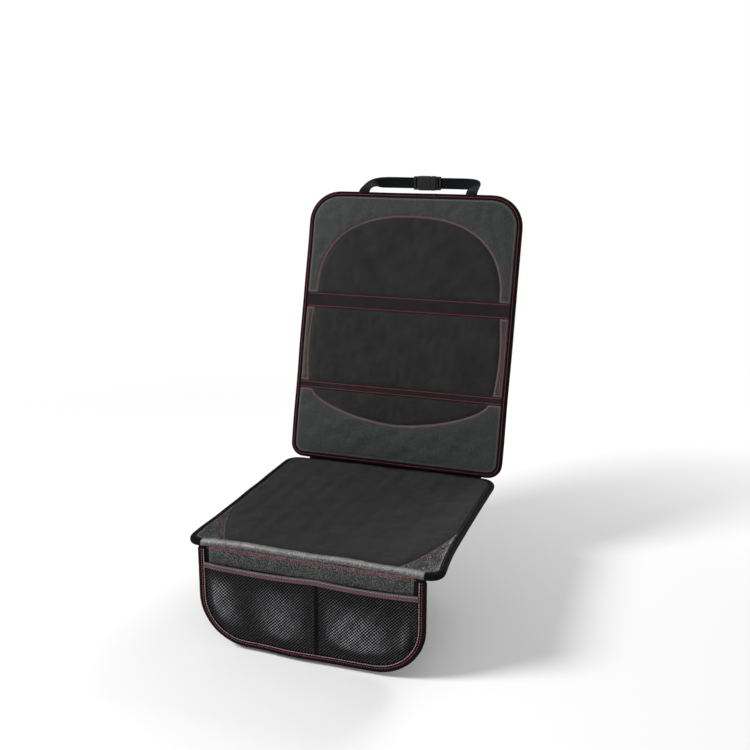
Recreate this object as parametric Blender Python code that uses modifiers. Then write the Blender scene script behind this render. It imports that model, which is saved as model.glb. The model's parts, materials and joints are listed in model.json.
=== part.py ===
# Car seat protector mat, shaped as it lies on a seat: a padded seat panel, a padded back panel,
# a front flap with two mesh pockets, and a webbing strap that closes behind the headrest posts.
# The origin is the centre of the seat panel's flat underside, on which it rests. +X is the viewer's
# right when the front is faced, -Y is the front and +Z is up. All sizes are in metres.
import math

import bmesh
import bpy
from mathutils import Matrix, Vector

# Clearance between pieces that touch
GAP = 0.0003

# Padded panels and the tape that binds their edges
PANEL_THICKNESS = 0.0095
TAPE_THICKNESS = 0.0012
BINDING_WIDTH = 0.0115

# Seat panel, measured over its binding
SEAT_WIDTH = 0.480
SEAT_DEPTH = 0.4735
SEAT_FRONT_RADIUS = 0.028
SEAT_REAR_RADIUS = 0.035
SEAT_PAD_THICKNESS = 0.0045
WEDGE_WIDTH = 0.071
WEDGE_LENGTH = 0.192
WEDGE_POWER = 1.6

# Facing that rolls over the seat panel's front edge and laps the flap, and how far the seat
# binding runs along that edge past each corner before the facing starts
BINDING_RETURN = 0.003
ROLL_RADIUS = 0.0075
LIP_DROP = 0.008

# Front flap, measured over its binding; its bottom is below the seat panel's underside
FLAP_WIDTH = 0.4346
FLAP_BOTTOM = 0.194
FLAP_RADIUS = 0.095
FLAP_THICKNESS = 0.0025
FLAP_BINDING_WIDTH = 0.0155

# Mesh pockets on the flap
MESH_THICKNESS = 0.0012
POCKET_BELLY = 0.011
POCKET_FULLNESS = 0.8
POCKET_COLUMNS = 14
POCKET_ROWS = 8
HEM_TOP = 0.0335
HEM_HEIGHT = 0.012
HEM_THICKNESS = 0.0018
DIVIDER_X = 0.015
DIVIDER_WIDTH = 0.004
DIVIDER_THICKNESS = 0.0014

# Back panel, measured over its binding; its place is that of its rear bottom edge
BACK_WIDTH = 0.489
BACK_LENGTH = 0.607
BACK_TOP_RADIUS = 0.070
BACK_BOTTOM_RADIUS = 0.030
BACK_RECLINE = math.radians(14.6)
CREASE_GAP = 0.0155
BACK_RISE = 0.0061

# Sewn-on panels, heights are along the back panel from its bottom edge
ACCENT_THICKNESS = 0.0022
ACCENT_ROUND = 0.0008
BACK_PAD_THICKNESS = 0.004
PAD_ROUND = 0.002
BACK_ROUND = 0.003
SEAM_GAP = 0.0006
BELT_THICKNESS = 0.0016
LOW_BELT_CENTRE = 0.166
LOW_BELT_HEIGHT = 0.016
HIGH_BELT_CENTRE = 0.359
HIGH_BELT_HEIGHT = 0.032
YOKE_FOOT_WIDTH = 0.0237
ARCH_HEIGHT = 0.176
ARCH_POWER = 2.4
SIDE_WIDTH = 0.0202
SIDE_INNER_SAG = 0.0055
BOWL_INSET = 0.0287
BOWL_DEPTH = 0.0645
BOWL_POWER = 1.6

# Fabric strip that joins the two panels, and the tabs and tubes tucked into the seat's crease
STRIP_WIDTH = 0.400
STRIP_THICKNESS = 0.0016
STRIP_UNDER_SEAT = 0.011
STRIP_UP_BACK = 0.011
TAB_INSET = 0.070
TAB_WIDTH = 0.050
TAB_THICKNESS = 0.0012
TAB_REACH = 0.062
TAB_SLOPE = math.radians(24)
TUBE_RADIUS = 0.008
TUBE_LENGTH = 0.062
TUBE_ROUND = 0.0015

# Headrest strap
STRAP_WIDTH = 0.025
STRAP_THICKNESS = 0.0015
STRAP_X = 0.124
STRAP_SEWN = 0.011
STRAP_BACK = 0.062
STRAP_RISE = 0.018
STRAP_TURN = 0.034

# Shares of the strap's turn inward, run back and rise at points on its way, then shares of the turn
# at points on the bend; the webbing lies flat to one point and stands on edge from another
STRAP_STATIONS = ((0.0, 0.16, 0.30), (0.03, 0.50, 0.62), (0.09, 1.0, 0.92))
TURN_STATIONS = ((0.35, 0.38), (1.1, 0.03), (1.8, 0.0))
FLAT_UNTIL = 3.5
EDGE_FROM = 7.5

# Side-release buckle, its length is along X
BUCKLE_HEIGHT = 0.033
BUCKLE_THICKNESS = 0.0105
BUCKLE_ROUND = 0.0018
TAIL_LENGTH = 0.012
TAIL_THICKNESS = 0.004
TAIL_HEIGHT = 0.031
TAIL_ROUND = 0.001
SOCKET_LENGTH = 0.028
PLUG_BASE_LENGTH = 0.012
CAVITY_WALL = 0.0022
CAVITY_DEPTH = 0.021
PRONG_LENGTH = 0.0185
PRONG_WIDTH = 0.0045
GUIDE_WIDTH = 0.007
WINDOW_LENGTH = 0.009
SLOT_WIDTH = 0.0032
BUCKLE_FIT = 0.0004

# Values worked out from the sizes above
EDGE = TAPE_THICKNESS + GAP
SWELL = EDGE + GAP
FRONT_Y = -SEAT_DEPTH / 2
REAR_Y = SEAT_DEPTH / 2
FLAP_TOP = -EDGE - GAP
FLAP_FACE_Y = FRONT_Y + EDGE
HEM_BOTTOM = HEM_TOP + HEM_HEIGHT
POCKET_INSET = FLAP_BINDING_WIDTH + 3 * GAP
LOW_BELT_TOP = LOW_BELT_CENTRE + LOW_BELT_HEIGHT / 2
LOW_BELT_BOTTOM = LOW_BELT_CENTRE - LOW_BELT_HEIGHT / 2
HIGH_BELT_TOP = HIGH_BELT_CENTRE + HIGH_BELT_HEIGHT / 2
HIGH_BELT_BOTTOM = HIGH_BELT_CENTRE - HIGH_BELT_HEIGHT / 2
ARC_STEPS = 8
CURVE_STEPS = 12

# The pieces are drawn from the level of the seat panel's rim, and its padding swells below that
REST = Matrix.Translation((0, 0, SWELL))

# Frames in which flat pieces are drawn: local X and Y lie in the piece and local Z leaves its face
BACK_FRAME = Matrix.Translation((0, REAR_Y + CREASE_GAP, BACK_RISE)) @ Matrix.Rotation(
    math.pi / 2 - BACK_RECLINE, 4, "X"
)
FLAP_FRAME = Matrix.Translation((0, FLAP_FACE_Y + FLAP_THICKNESS, 0)) @ Matrix.Rotation(
    math.pi / 2, 4, "X"
)
SEAT_FRAME = Matrix.Identity(4)
SIDE_VIEW = Matrix(((0, 0, 1, 0), (1, 0, 0, 0), (0, 1, 0, 0), (0, 0, 0, 1)))

product = None
cutters = None


def start_scene():
    global product, cutters
    for thing in list(bpy.data.objects):
        bpy.data.objects.remove(thing)
    product = bpy.data.collections.new("car_seat_protector_mat")
    cutters = bpy.data.collections.new("cutters")
    bpy.context.scene.collection.children.link(product)
    bpy.context.scene.collection.children.link(cutters)


def make_material(name, colour, roughness, metallic=0.0):
    material = bpy.data.materials.new(name)
    material.use_nodes = True
    shader = material.node_tree.nodes["Principled BSDF"]
    shader.inputs["Base Color"].default_value = (*colour, 1.0)
    shader.inputs["Roughness"].default_value = roughness
    shader.inputs["Metallic"].default_value = metallic
    return material


def leatherette(name):
    return make_material(name, (0.045, 0.046, 0.048), 0.42)


def padding_fabric(name):
    return make_material(name, (0.022, 0.021, 0.022), 0.85)


def binding_tape(name):
    return make_material(name, (0.008, 0.008, 0.009), 0.8)


def webbing(name):
    return make_material(name, (0.016, 0.018, 0.021), 0.75)


def plastic(name):
    return make_material(name, (0.012, 0.012, 0.013), 0.35)


def evaluated_mesh(source, name):
    bpy.context.view_layer.update()
    graph = bpy.context.evaluated_depsgraph_get()
    mesh = bpy.data.meshes.new_from_object(source.evaluated_get(graph))
    mesh.name = name
    return mesh


def place(name, mesh, frame, material, smooth_angle=math.radians(40)):
    piece = bpy.data.objects.new(name, mesh)
    piece.matrix_world = REST @ frame
    product.objects.link(piece)
    mesh.materials.clear()
    mesh.materials.append(material)
    mesh.shade_smooth()
    mesh.set_sharp_from_angle(angle=smooth_angle)
    return piece


def weld(mesh):
    shape = bmesh.new()
    shape.from_mesh(mesh)
    bmesh.ops.remove_doubles(shape, verts=shape.verts, dist=1e-6)
    bmesh.ops.recalc_face_normals(shape, faces=shape.faces)
    shape.to_mesh(mesh)
    shape.free()


def new_curve(name, splines, closed, dimensions="2D"):
    curve = bpy.data.curves.new(name, "CURVE")
    curve.dimensions = dimensions
    for points in splines:
        spline = curve.splines.new("POLY")
        spline.points.add(len(points) - 1)
        for target, point in zip(spline.points, points):
            target.co = (*point, 1.0) if len(point) == 3 else (*point, 0.0, 1.0)
        spline.use_cyclic_u = closed
    guide = bpy.data.objects.new(name, curve)
    guide.hide_render = True
    guide.display_type = "WIRE"
    cutters.objects.link(guide)
    return guide


def arc(centre, radius, start, end, steps=ARC_STEPS):
    angles = [start + (end - start) * i / steps for i in range(steps + 1)]
    return [
        (centre[0] + radius * math.cos(a), centre[1] + radius * math.sin(a)) for a in angles
    ]


def smooth_path(points, steps=4):
    # Catmull-Rom curve through the points, with its ends mirrored
    knots = [Vector(p) for p in points]
    knots = [2 * knots[0] - knots[1], *knots, 2 * knots[-1] - knots[-2]]
    path = []
    for a, b, c, d in zip(knots, knots[1:], knots[2:], knots[3:]):
        for i in range(steps):
            t = i / steps
            path.append(
                0.5 * (2 * b + (c - a) * t + (2 * a - 5 * b + 4 * c - d) * t**2
                       + (3 * b - a - 3 * c + d) * t**3)
            )
    return [tuple(p) for p in path] + [tuple(knots[-2])]


def rounded_box(left, right, bottom, top, bottom_radius, top_radius):
    # Counter-clockwise outline that starts at the bottom left corner
    quarter = math.pi / 2
    return (
        arc((left + bottom_radius, bottom + bottom_radius), bottom_radius, 2 * quarter, 3 * quarter)
        + arc((right - bottom_radius, bottom + bottom_radius), bottom_radius, -quarter, 0)
        + arc((right - top_radius, top - top_radius), top_radius, 0, quarter)
        + arc((left + top_radius, top - top_radius), top_radius, quarter, 2 * quarter)
    )


def mirrored(outline):
    return [(-x, y) for x, y in reversed(outline)]


def flat_piece(name, outline, base, thickness, frame, material, top_round=0.0, round_steps=2):
    # An outline with thickness, whose upper rim is rounded
    guide = new_curve(name + "_outline", [outline], True)
    guide.data.fill_mode = "BOTH"
    guide.data.extrude = thickness / 2
    mesh = evaluated_mesh(guide, name)
    bpy.data.objects.remove(guide)
    shape = bmesh.new()
    shape.from_mesh(mesh)
    bmesh.ops.remove_doubles(shape, verts=shape.verts, dist=1e-6)
    bmesh.ops.recalc_face_normals(shape, faces=shape.faces)
    caps = [
        e for e in shape.edges
        if len(e.link_faces) == 2 and all(abs(f.normal.z) > 0.9 for f in e.link_faces)
    ]
    bmesh.ops.dissolve_edges(shape, edges=caps, use_verts=False)
    if top_round > 0:
        rim = [
            e for e in shape.edges
            if min(v.co.z for v in e.verts) > thickness * 0.49
        ]
        bmesh.ops.bevel(
            shape, geom=rim, offset=top_round, segments=round_steps, profile=0.5,
            affect="EDGES", clamp_overlap=True,
        )
    bmesh.ops.translate(shape, verts=shape.verts, vec=(0, 0, base + thickness / 2))
    shape.to_mesh(mesh)
    shape.free()
    return place(name, mesh, frame, material)


def swell_rear(panel):
    # Inside its binding, a panel's padding stands a little proud of the tape at the rear
    shape = bmesh.new()
    shape.from_mesh(panel.data)
    rear = min(shape.faces, key=lambda face: face.calc_center_median().z)
    bmesh.ops.inset_region(shape, faces=[rear], thickness=BINDING_WIDTH - EDGE + GAP, depth=0)
    raised = bmesh.ops.extrude_discrete_faces(shape, faces=[rear])["faces"][0]
    bmesh.ops.translate(shape, verts=raised.verts, vec=(0, 0, -SWELL))
    shape.to_mesh(panel.data)
    shape.free()


def bound_edge(name, path, closed, thickness, face_width, frame, material):
    # Tape folded over a panel's edge; the path is the panel's outline, counter-clockwise.
    # A section's +X side points into a closed outline and out of an open one.
    inner = face_width - EDGE
    section = [
        (-EDGE, -EDGE), (-EDGE, thickness + EDGE), (inner, thickness + EDGE), (inner, thickness + GAP),
        (-GAP, thickness + GAP), (-GAP, -GAP), (inner, -GAP), (inner, -EDGE),
    ]
    if not closed:
        section = mirrored(section)
    profile = new_curve(name + "_section", [section], True)
    guide = new_curve(name + "_path", [path], closed)
    guide.data.fill_mode = "NONE"
    guide.data.bevel_mode = "OBJECT"
    guide.data.bevel_object = profile
    guide.data.use_fill_caps = True
    mesh = evaluated_mesh(guide, name)
    bpy.data.objects.remove(guide)
    bpy.data.objects.remove(profile)
    weld(mesh)
    return place(name, mesh, frame, material)


def band(name, path, width, thickness, frame, material, tilts=None):
    # A strip of cloth or webbing whose centreline is the path
    guide = new_curve(name + "_path", [path], False, "3D" if tilts else "2D")
    guide.data.fill_mode = "FULL" if tilts else "NONE"
    guide.data.extrude = width / 2
    guide.data.twist_mode = "Z_UP"
    for point, tilt in zip(guide.data.splines[0].points, tilts or []):
        point.tilt = tilt
    mesh = evaluated_mesh(guide, name)
    bpy.data.objects.remove(guide)
    piece = place(name, mesh, frame, material)
    shell = piece.modifiers.new("thickness", "SOLIDIFY")
    shell.thickness = thickness
    shell.offset = 0.0
    shell.use_even_offset = True
    return piece


def box_mesh(name, low, high, round_size=0.0):
    shape = bmesh.new()
    bmesh.ops.create_cube(shape, size=1.0)
    size = [h - l for l, h in zip(low, high)]
    middle = [(h + l) / 2 for l, h in zip(low, high)]
    bmesh.ops.transform(
        shape, verts=shape.verts, matrix=Matrix.Translation(middle) @ Matrix.Diagonal((*size, 1.0))
    )
    if round_size > 0:
        bmesh.ops.bevel(
            shape, geom=list(shape.edges), offset=round_size, segments=2, profile=0.5, affect="EDGES"
        )
    mesh = bpy.data.meshes.new(name)
    shape.to_mesh(mesh)
    shape.free()
    return mesh


def combine(piece, name, low, high, operation, round_size=0.0):
    tool = bpy.data.objects.new(name, box_mesh(name, low, high, round_size))
    tool.matrix_world = piece.matrix_world
    tool.hide_render = True
    tool.display_type = "WIRE"
    cutters.objects.link(tool)
    change = piece.modifiers.new(name, "BOOLEAN")
    change.operation = operation
    change.object = tool
    change.solver = "EXACT"


def panel_outline(width, bottom, top, bottom_radius, top_radius, inset):
    # Outline of a bound panel, this far inside the outer edge of its binding
    return rounded_box(
        -width / 2 + inset, width / 2 - inset, bottom + inset, top - inset,
        bottom_radius - inset, top_radius - inset,
    )


def seat_outline(inset):
    return panel_outline(SEAT_WIDTH, FRONT_Y, REAR_Y, SEAT_FRONT_RADIUS, SEAT_REAR_RADIUS, inset)


def wedge_edge(y, offset=0.0):
    # Distance from the centre to the seam between the seat pad and a front wedge
    outer = SEAT_WIDTH / 2 - BINDING_WIDTH - GAP
    share = max(0.0, (FRONT_Y + WEDGE_LENGTH - y) / WEDGE_LENGTH)
    return outer - WEDGE_WIDTH * share**WEDGE_POWER - offset


def build_seat():
    panel = flat_piece(
        "seat_panel", seat_outline(EDGE), 0, PANEL_THICKNESS, SEAT_FRAME,
        padding_fabric("seat_panel"), top_round=ROLL_RADIUS - TAPE_THICKNESS, round_steps=3,
    )
    swell_rear(panel)
    outline = seat_outline(EDGE)
    count = ARC_STEPS + 1
    end = SEAT_WIDTH / 2 - SEAT_FRONT_RADIUS - BINDING_RETURN
    edge_y = FRONT_Y + EDGE
    path = [(end, edge_y)] + outline[count:] + outline[:count] + [(-end, edge_y)]
    bound_edge(
        "seat_binding", path, False, PANEL_THICKNESS, BINDING_WIDTH, SEAT_FRAME,
        binding_tape("seat_binding"),
    )

    face = PANEL_THICKNESS + GAP
    front = FRONT_Y + BINDING_WIDTH + GAP
    tip = FRONT_Y + WEDGE_LENGTH
    corner_radius = SEAT_FRONT_RADIUS - BINDING_WIDTH - GAP
    outer = wedge_edge(tip)
    seam = [tip + (front - tip) * i / CURVE_STEPS for i in range(1, CURVE_STEPS + 1)]
    corner = arc((outer - corner_radius, front + corner_radius), corner_radius, -math.pi / 2, 0)
    wedge = corner + [(outer, tip)] + [(wedge_edge(y), y) for y in seam]
    for side, shape in (("right", wedge), ("left", mirrored(wedge))):
        name = "seat_wedge_" + side
        flat_piece(
            name, shape, face, ACCENT_THICKNESS, SEAT_FRAME, leatherette(name), top_round=ACCENT_ROUND
        )

    inset = BINDING_WIDTH + GAP
    rear = REAR_Y - inset
    rear_radius = SEAT_REAR_RADIUS - inset
    right = [(wedge_edge(y, SEAM_GAP), y) for y in reversed(seam)] + [(outer - SEAM_GAP, tip)]
    right += arc((outer - rear_radius, rear - rear_radius), rear_radius - SEAM_GAP, 0, math.pi / 2)
    flat_piece(
        "seat_centre_pad", right + mirrored(right), face, SEAT_PAD_THICKNESS, SEAT_FRAME,
        padding_fabric("seat_centre_pad"), top_round=PAD_ROUND,
    )


def build_front_facing():
    # The leatherette facing rolls over the front edge, and its lip laps the top of the flap
    middle = TAPE_THICKNESS / 2
    top = PANEL_THICKNESS + GAP + middle
    centre = (FRONT_Y + ROLL_RADIUS, PANEL_THICKNESS + EDGE - ROLL_RADIUS)
    roll = arc(centre, ROLL_RADIUS - middle, math.pi / 2, math.pi, 6)
    path = [(FRONT_Y + BINDING_WIDTH, top)] + roll + [(FRONT_Y + middle, -LIP_DROP)]
    width = SEAT_WIDTH - 2 * (SEAT_FRONT_RADIUS + BINDING_RETURN + GAP)
    band(
        "front_facing", path, width, TAPE_THICKNESS, SIDE_VIEW, leatherette("front_facing")
    )


def flap_outline(inset):
    # Runs down the left side, along the bottom and up the right side
    half = FLAP_WIDTH / 2 - inset
    low = -FLAP_BOTTOM + inset
    radius = FLAP_RADIUS - inset
    quarter = math.pi / 2
    left = arc((-half + radius, low + radius), radius, 2 * quarter, 3 * quarter, 10)
    right = arc((half - radius, low + radius), radius, -quarter, 0, 10)
    return left + right


def build_flap():
    lower = flap_outline(EDGE)
    half = FLAP_WIDTH / 2 - EDGE
    flat_piece(
        "front_flap", [(-half, FLAP_TOP)] + lower + [(half, FLAP_TOP)], 0, FLAP_THICKNESS,
        FLAP_FRAME, leatherette("front_flap"),
    )
    top = -LIP_DROP - GAP
    bound_edge(
        "flap_binding", [(-half, top)] + lower + [(half, top)], False, FLAP_THICKNESS,
        FLAP_BINDING_WIDTH, FLAP_FRAME, binding_tape("flap_binding"),
    )


def pocket_span(side):
    # Left and right limits of a pocket, between the flap's binding and the divider
    outer = FLAP_WIDTH / 2 - POCKET_INSET
    inner = DIVIDER_WIDTH / 2 + GAP
    if side == "left":
        return -outer, DIVIDER_X - inner
    return DIVIDER_X + inner, outer


def belly(share, height_share=1.0):
    # How far a pocket stands off the flap, across its width and up its height
    lift = 1 - (1 - height_share) ** 2
    return POCKET_BELLY * math.sin(math.pi * share) * lift**POCKET_FULLNESS


def pocket_bottom(x):
    radius = FLAP_RADIUS - POCKET_INSET
    low = -FLAP_BOTTOM + POCKET_INSET
    start = FLAP_WIDTH / 2 - FLAP_RADIUS
    beyond = min(max(0.0, abs(x) - start), radius)
    return low + radius - math.sqrt(radius**2 - beyond**2)


def pocket_share(across):
    # Columns stand closer together near a pocket's sides, where its bottom is rounded
    return 0.5 - 0.5 * math.cos(math.pi * across)


def build_pockets():
    for side in ("left", "right"):
        name = "pocket_mesh_" + side
        low_x, high_x = pocket_span(side)
        shape = bmesh.new()
        bmesh.ops.create_grid(shape, x_segments=POCKET_COLUMNS, y_segments=POCKET_ROWS, size=0.5)
        for vertex in shape.verts:
            across, up = pocket_share(vertex.co.x + 0.5), vertex.co.y + 0.5
            x = low_x + (high_x - low_x) * across
            bottom = pocket_bottom(x)
            z = bottom + (-HEM_BOTTOM - GAP - bottom) * up
            y = FLAP_FACE_Y - GAP - MESH_THICKNESS / 2 - belly(across, up)
            vertex.co = (x, y, z)
        bmesh.ops.recalc_face_normals(shape, faces=shape.faces)
        mesh = bpy.data.meshes.new(name)
        shape.to_mesh(mesh)
        shape.free()
        piece = place(name, mesh, SEAT_FRAME, padding_fabric(name))
        shell = piece.modifiers.new("thickness", "SOLIDIFY")
        shell.thickness = MESH_THICKNESS
        shell.offset = 0.0
        shell.use_even_offset = True

    path = []
    for side in ("left", "right"):
        low_x, high_x = pocket_span(side)
        for i in range(POCKET_COLUMNS + 1):
            across = pocket_share(i / POCKET_COLUMNS)
            x = low_x + (high_x - low_x) * across
            path.append((x, FLAP_FACE_Y - GAP - HEM_THICKNESS / 2 - belly(across)))
    band(
        "pocket_hem", path, HEM_HEIGHT, HEM_THICKNESS,
        Matrix.Translation((0, 0, -(HEM_TOP + HEM_BOTTOM) / 2)), binding_tape("pocket_hem"),
    )
    bottom = pocket_bottom(DIVIDER_X)
    left, right = DIVIDER_X - DIVIDER_WIDTH / 2, DIVIDER_X + DIVIDER_WIDTH / 2
    top = -HEM_BOTTOM - GAP
    flat_piece(
        "pocket_divider", [(left, bottom), (right, bottom), (right, top), (left, top)],
        FLAP_THICKNESS + GAP, DIVIDER_THICKNESS, FLAP_FRAME, binding_tape("pocket_divider"),
    )


def superellipse(half_width, height, power, steps=2 * CURVE_STEPS):
    # Upper half of a superellipse, from its right end to its left end
    points = []
    for i in range(steps + 1):
        angle = math.pi * i / steps
        c, s = math.cos(angle), math.sin(angle)
        x = half_width * math.copysign(abs(c) ** (2 / power), c)
        points.append((x, height * abs(s) ** (2 / power)))
    return points


def build_back():
    outline = panel_outline(BACK_WIDTH, 0, BACK_LENGTH, BACK_BOTTOM_RADIUS, BACK_TOP_RADIUS, EDGE)
    panel = flat_piece(
        "back_panel", outline, 0, PANEL_THICKNESS, BACK_FRAME, padding_fabric("back_panel"),
        top_round=BACK_ROUND,
    )
    swell_rear(panel)
    bound_edge(
        "back_binding", outline, True, PANEL_THICKNESS, BINDING_WIDTH, BACK_FRAME,
        binding_tape("back_binding"),
    )

    face = PANEL_THICKNESS + GAP
    inset = BINDING_WIDTH + GAP
    outer = BACK_WIDTH / 2 - inset
    quarter = math.pi / 2

    def accent(name, outline):
        flat_piece(
            name, outline, face, ACCENT_THICKNESS, BACK_FRAME, leatherette(name), top_round=ACCENT_ROUND
        )

    def pad(name, outline):
        flat_piece(
            name, outline, face, BACK_PAD_THICKNESS, BACK_FRAME, padding_fabric(name), top_round=PAD_ROUND
        )

    base = HIGH_BELT_TOP + SEAM_GAP
    top_radius = BACK_TOP_RADIUS - inset
    top = BACK_LENGTH - inset
    arch_half = outer - YOKE_FOOT_WIDTH
    arch = superellipse(arch_half, ARCH_HEIGHT, ARCH_POWER)
    yoke = [(outer, base)]
    yoke += arc((outer - top_radius, top - top_radius), top_radius, 0, quarter)
    yoke += arc((-outer + top_radius, top - top_radius), top_radius, quarter, 2 * quarter)
    yoke += [(-outer, base)] + [(x, base + s) for x, s in reversed(arch)]
    accent("back_yoke", yoke)
    inner_arch = superellipse(arch_half - SEAM_GAP, ARCH_HEIGHT - SEAM_GAP, ARCH_POWER)
    pad("back_pad_upper", [(x, base + s) for x, s in inner_arch])

    low, high = LOW_BELT_TOP + SEAM_GAP, HIGH_BELT_BOTTOM - SEAM_GAP
    levels = [low + (high - low) * i / CURVE_STEPS for i in range(CURVE_STEPS + 1)]

    def side_inner(s, offset=0.0):
        sag = SIDE_INNER_SAG * math.sin(math.pi * (s - low) / (high - low))
        return outer - SIDE_WIDTH + sag - offset

    flank = [(outer, low), (outer, high)] + [(side_inner(s), s) for s in reversed(levels)]
    accent("back_side_right", flank)
    accent("back_side_left", mirrored(flank))
    right = [(side_inner(s, SEAM_GAP), s) for s in levels]
    pad("back_pad_middle", right + mirrored(right))

    base = LOW_BELT_BOTTOM - SEAM_GAP
    bottom_radius = BACK_BOTTOM_RADIUS - inset
    bowl_half = outer - BOWL_INSET
    bowl = superellipse(bowl_half, BOWL_DEPTH, BOWL_POWER)
    lower = arc((-outer + bottom_radius, inset + bottom_radius), bottom_radius, 2 * quarter, 3 * quarter)
    lower += arc((outer - bottom_radius, inset + bottom_radius), bottom_radius, -quarter, 0)
    lower += [(outer, base)] + [(x, base - s) for x, s in bowl] + [(-outer, base)]
    accent("back_lower_panel", lower)
    inner_bowl = superellipse(bowl_half - 2 * SEAM_GAP, BOWL_DEPTH - 2 * SEAM_GAP, BOWL_POWER)
    pad("back_pad_lower", [(x, base - s) for x, s in reversed(inner_bowl)])

    for name, bottom, top in (
        ("back_belt_lower", LOW_BELT_BOTTOM, LOW_BELT_TOP),
        ("back_belt_upper", HIGH_BELT_BOTTOM, HIGH_BELT_TOP),
    ):
        flat_piece(
            name, [(-outer, bottom), (outer, bottom), (outer, top), (-outer, top)], face,
            BELT_THICKNESS, BACK_FRAME, binding_tape(name),
        )


def on_back(height, depth):
    # Side view place (y, z) of a point at this height on the back panel and depth off its rear face
    point = BACK_FRAME @ Vector((0, height, depth))
    return point.y, point.z


def build_crease():
    middle = STRIP_THICKNESS / 2
    under = -EDGE - GAP - middle
    rear = REAR_Y
    start = (rear - STRIP_UNDER_SEAT, under)
    path = smooth_path([
        start, (rear, under), (rear + CREASE_GAP - middle, under + middle),
        on_back(STRIP_UP_BACK / 4, under), on_back(STRIP_UP_BACK, under),
    ])
    band(
        "crease_strip", path, STRIP_WIDTH, STRIP_THICKNESS, SIDE_VIEW, padding_fabric("crease_strip")
    )
    tab_x = STRIP_WIDTH / 2 - TAB_INSET
    tab_level = under - middle - 4 * GAP - TAB_THICKNESS / 2
    slope = Vector((math.cos(TAB_SLOPE), -math.sin(TAB_SLOPE)))
    bend = Vector((rear - STRIP_UNDER_SEAT / 3, tab_level))
    tube = bend + slope * TAB_REACH
    tab_end = tube - slope * (TUBE_RADIUS + GAP)
    tab_path = smooth_path([
        (start[0], tab_level), tuple(bend - Vector((STRIP_UNDER_SEAT / 4, 0))),
        tuple(bend + slope * (STRIP_UNDER_SEAT / 4)), tuple(tab_end),
    ])
    for side, sign in (("right", 1), ("left", -1)):
        name = "crease_tab_" + side
        band(
            name, tab_path, TAB_WIDTH, TAB_THICKNESS,
            Matrix.Translation((sign * tab_x, 0, 0)) @ SIDE_VIEW, webbing(name),
        )
        name = "crease_tube_" + side
        shape = bmesh.new()
        bmesh.ops.create_cone(
            shape, cap_ends=True, segments=24, radius1=TUBE_RADIUS, radius2=TUBE_RADIUS,
            depth=TUBE_LENGTH,
        )
        rims = [e for e in shape.edges if abs(e.verts[0].co.z - e.verts[1].co.z) < 1e-6]
        bmesh.ops.bevel(shape, geom=rims, offset=TUBE_ROUND, segments=2, profile=0.5, affect="EDGES")
        mesh = bpy.data.meshes.new(name)
        shape.to_mesh(mesh)
        shape.free()
        frame = Matrix.Translation((sign * tab_x, tube.x, tube.y)) @ Matrix.Rotation(
            math.pi / 2, 4, "Y"
        )
        place(name, mesh, frame, plastic(name))


def buckle_place():
    # Centre of the closed buckle, just in front of the strap's rear run
    y, z = on_back(BACK_LENGTH, 0)
    run_y = y + STRAP_BACK + STRAP_TURN
    return run_y - TAIL_THICKNESS / 2 - GAP - STRAP_THICKNESS / 2, z + STRAP_RISE


def build_straps():
    depth = -EDGE - GAP - STRAP_THICKNESS / 2
    sewn_y, sewn_z = on_back(BACK_LENGTH - STRAP_SEWN, depth)
    middle_y, middle_z = on_back(BACK_LENGTH - STRAP_SEWN / 2, depth)
    edge_y, edge_z = on_back(BACK_LENGTH - STRAP_SEWN / 4, depth - STRAP_THICKNESS / 2)
    top_y, top_z = on_back(BACK_LENGTH, 0)
    buckle_y, buckle_z = buckle_place()
    run_y = buckle_y + TAIL_THICKNESS / 2 + GAP + STRAP_THICKNESS / 2
    run_end = (SOCKET_LENGTH + PLUG_BASE_LENGTH) / 2 + 3 * GAP
    stations = [
        (STRAP_X, sewn_y, sewn_z), (STRAP_X, middle_y, middle_z), (STRAP_X, edge_y, edge_z),
    ]
    stations += [
        (STRAP_X - STRAP_TURN * inward, top_y + STRAP_BACK * back, top_z + STRAP_RISE * rise)
        for inward, back, rise in STRAP_STATIONS
    ]
    stations += [
        (STRAP_X - STRAP_TURN * inward, run_y - STRAP_TURN * before, buckle_z)
        for inward, before in TURN_STATIONS
    ]
    stations.append((run_end, run_y, buckle_z))
    path = smooth_path(stations)
    tilts = []
    for i in range(len(path)):
        station = i / (len(path) - 1) * (len(stations) - 1)
        turn = min(1.0, max(0.0, (station - FLAT_UNTIL) / (EDGE_FROM - FLAT_UNTIL)))
        tilts.append(math.pi / 2 * (1 - turn * turn * (3 - 2 * turn)))
    for side, sign in (("right", 1), ("left", -1)):
        name = "headrest_strap_" + side
        band(
            name, [(sign * x, y, z) for x, y, z in path], STRAP_WIDTH, STRAP_THICKNESS, SEAT_FRAME,
            webbing(name), [sign * tilt for tilt in tilts],
        )


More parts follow.
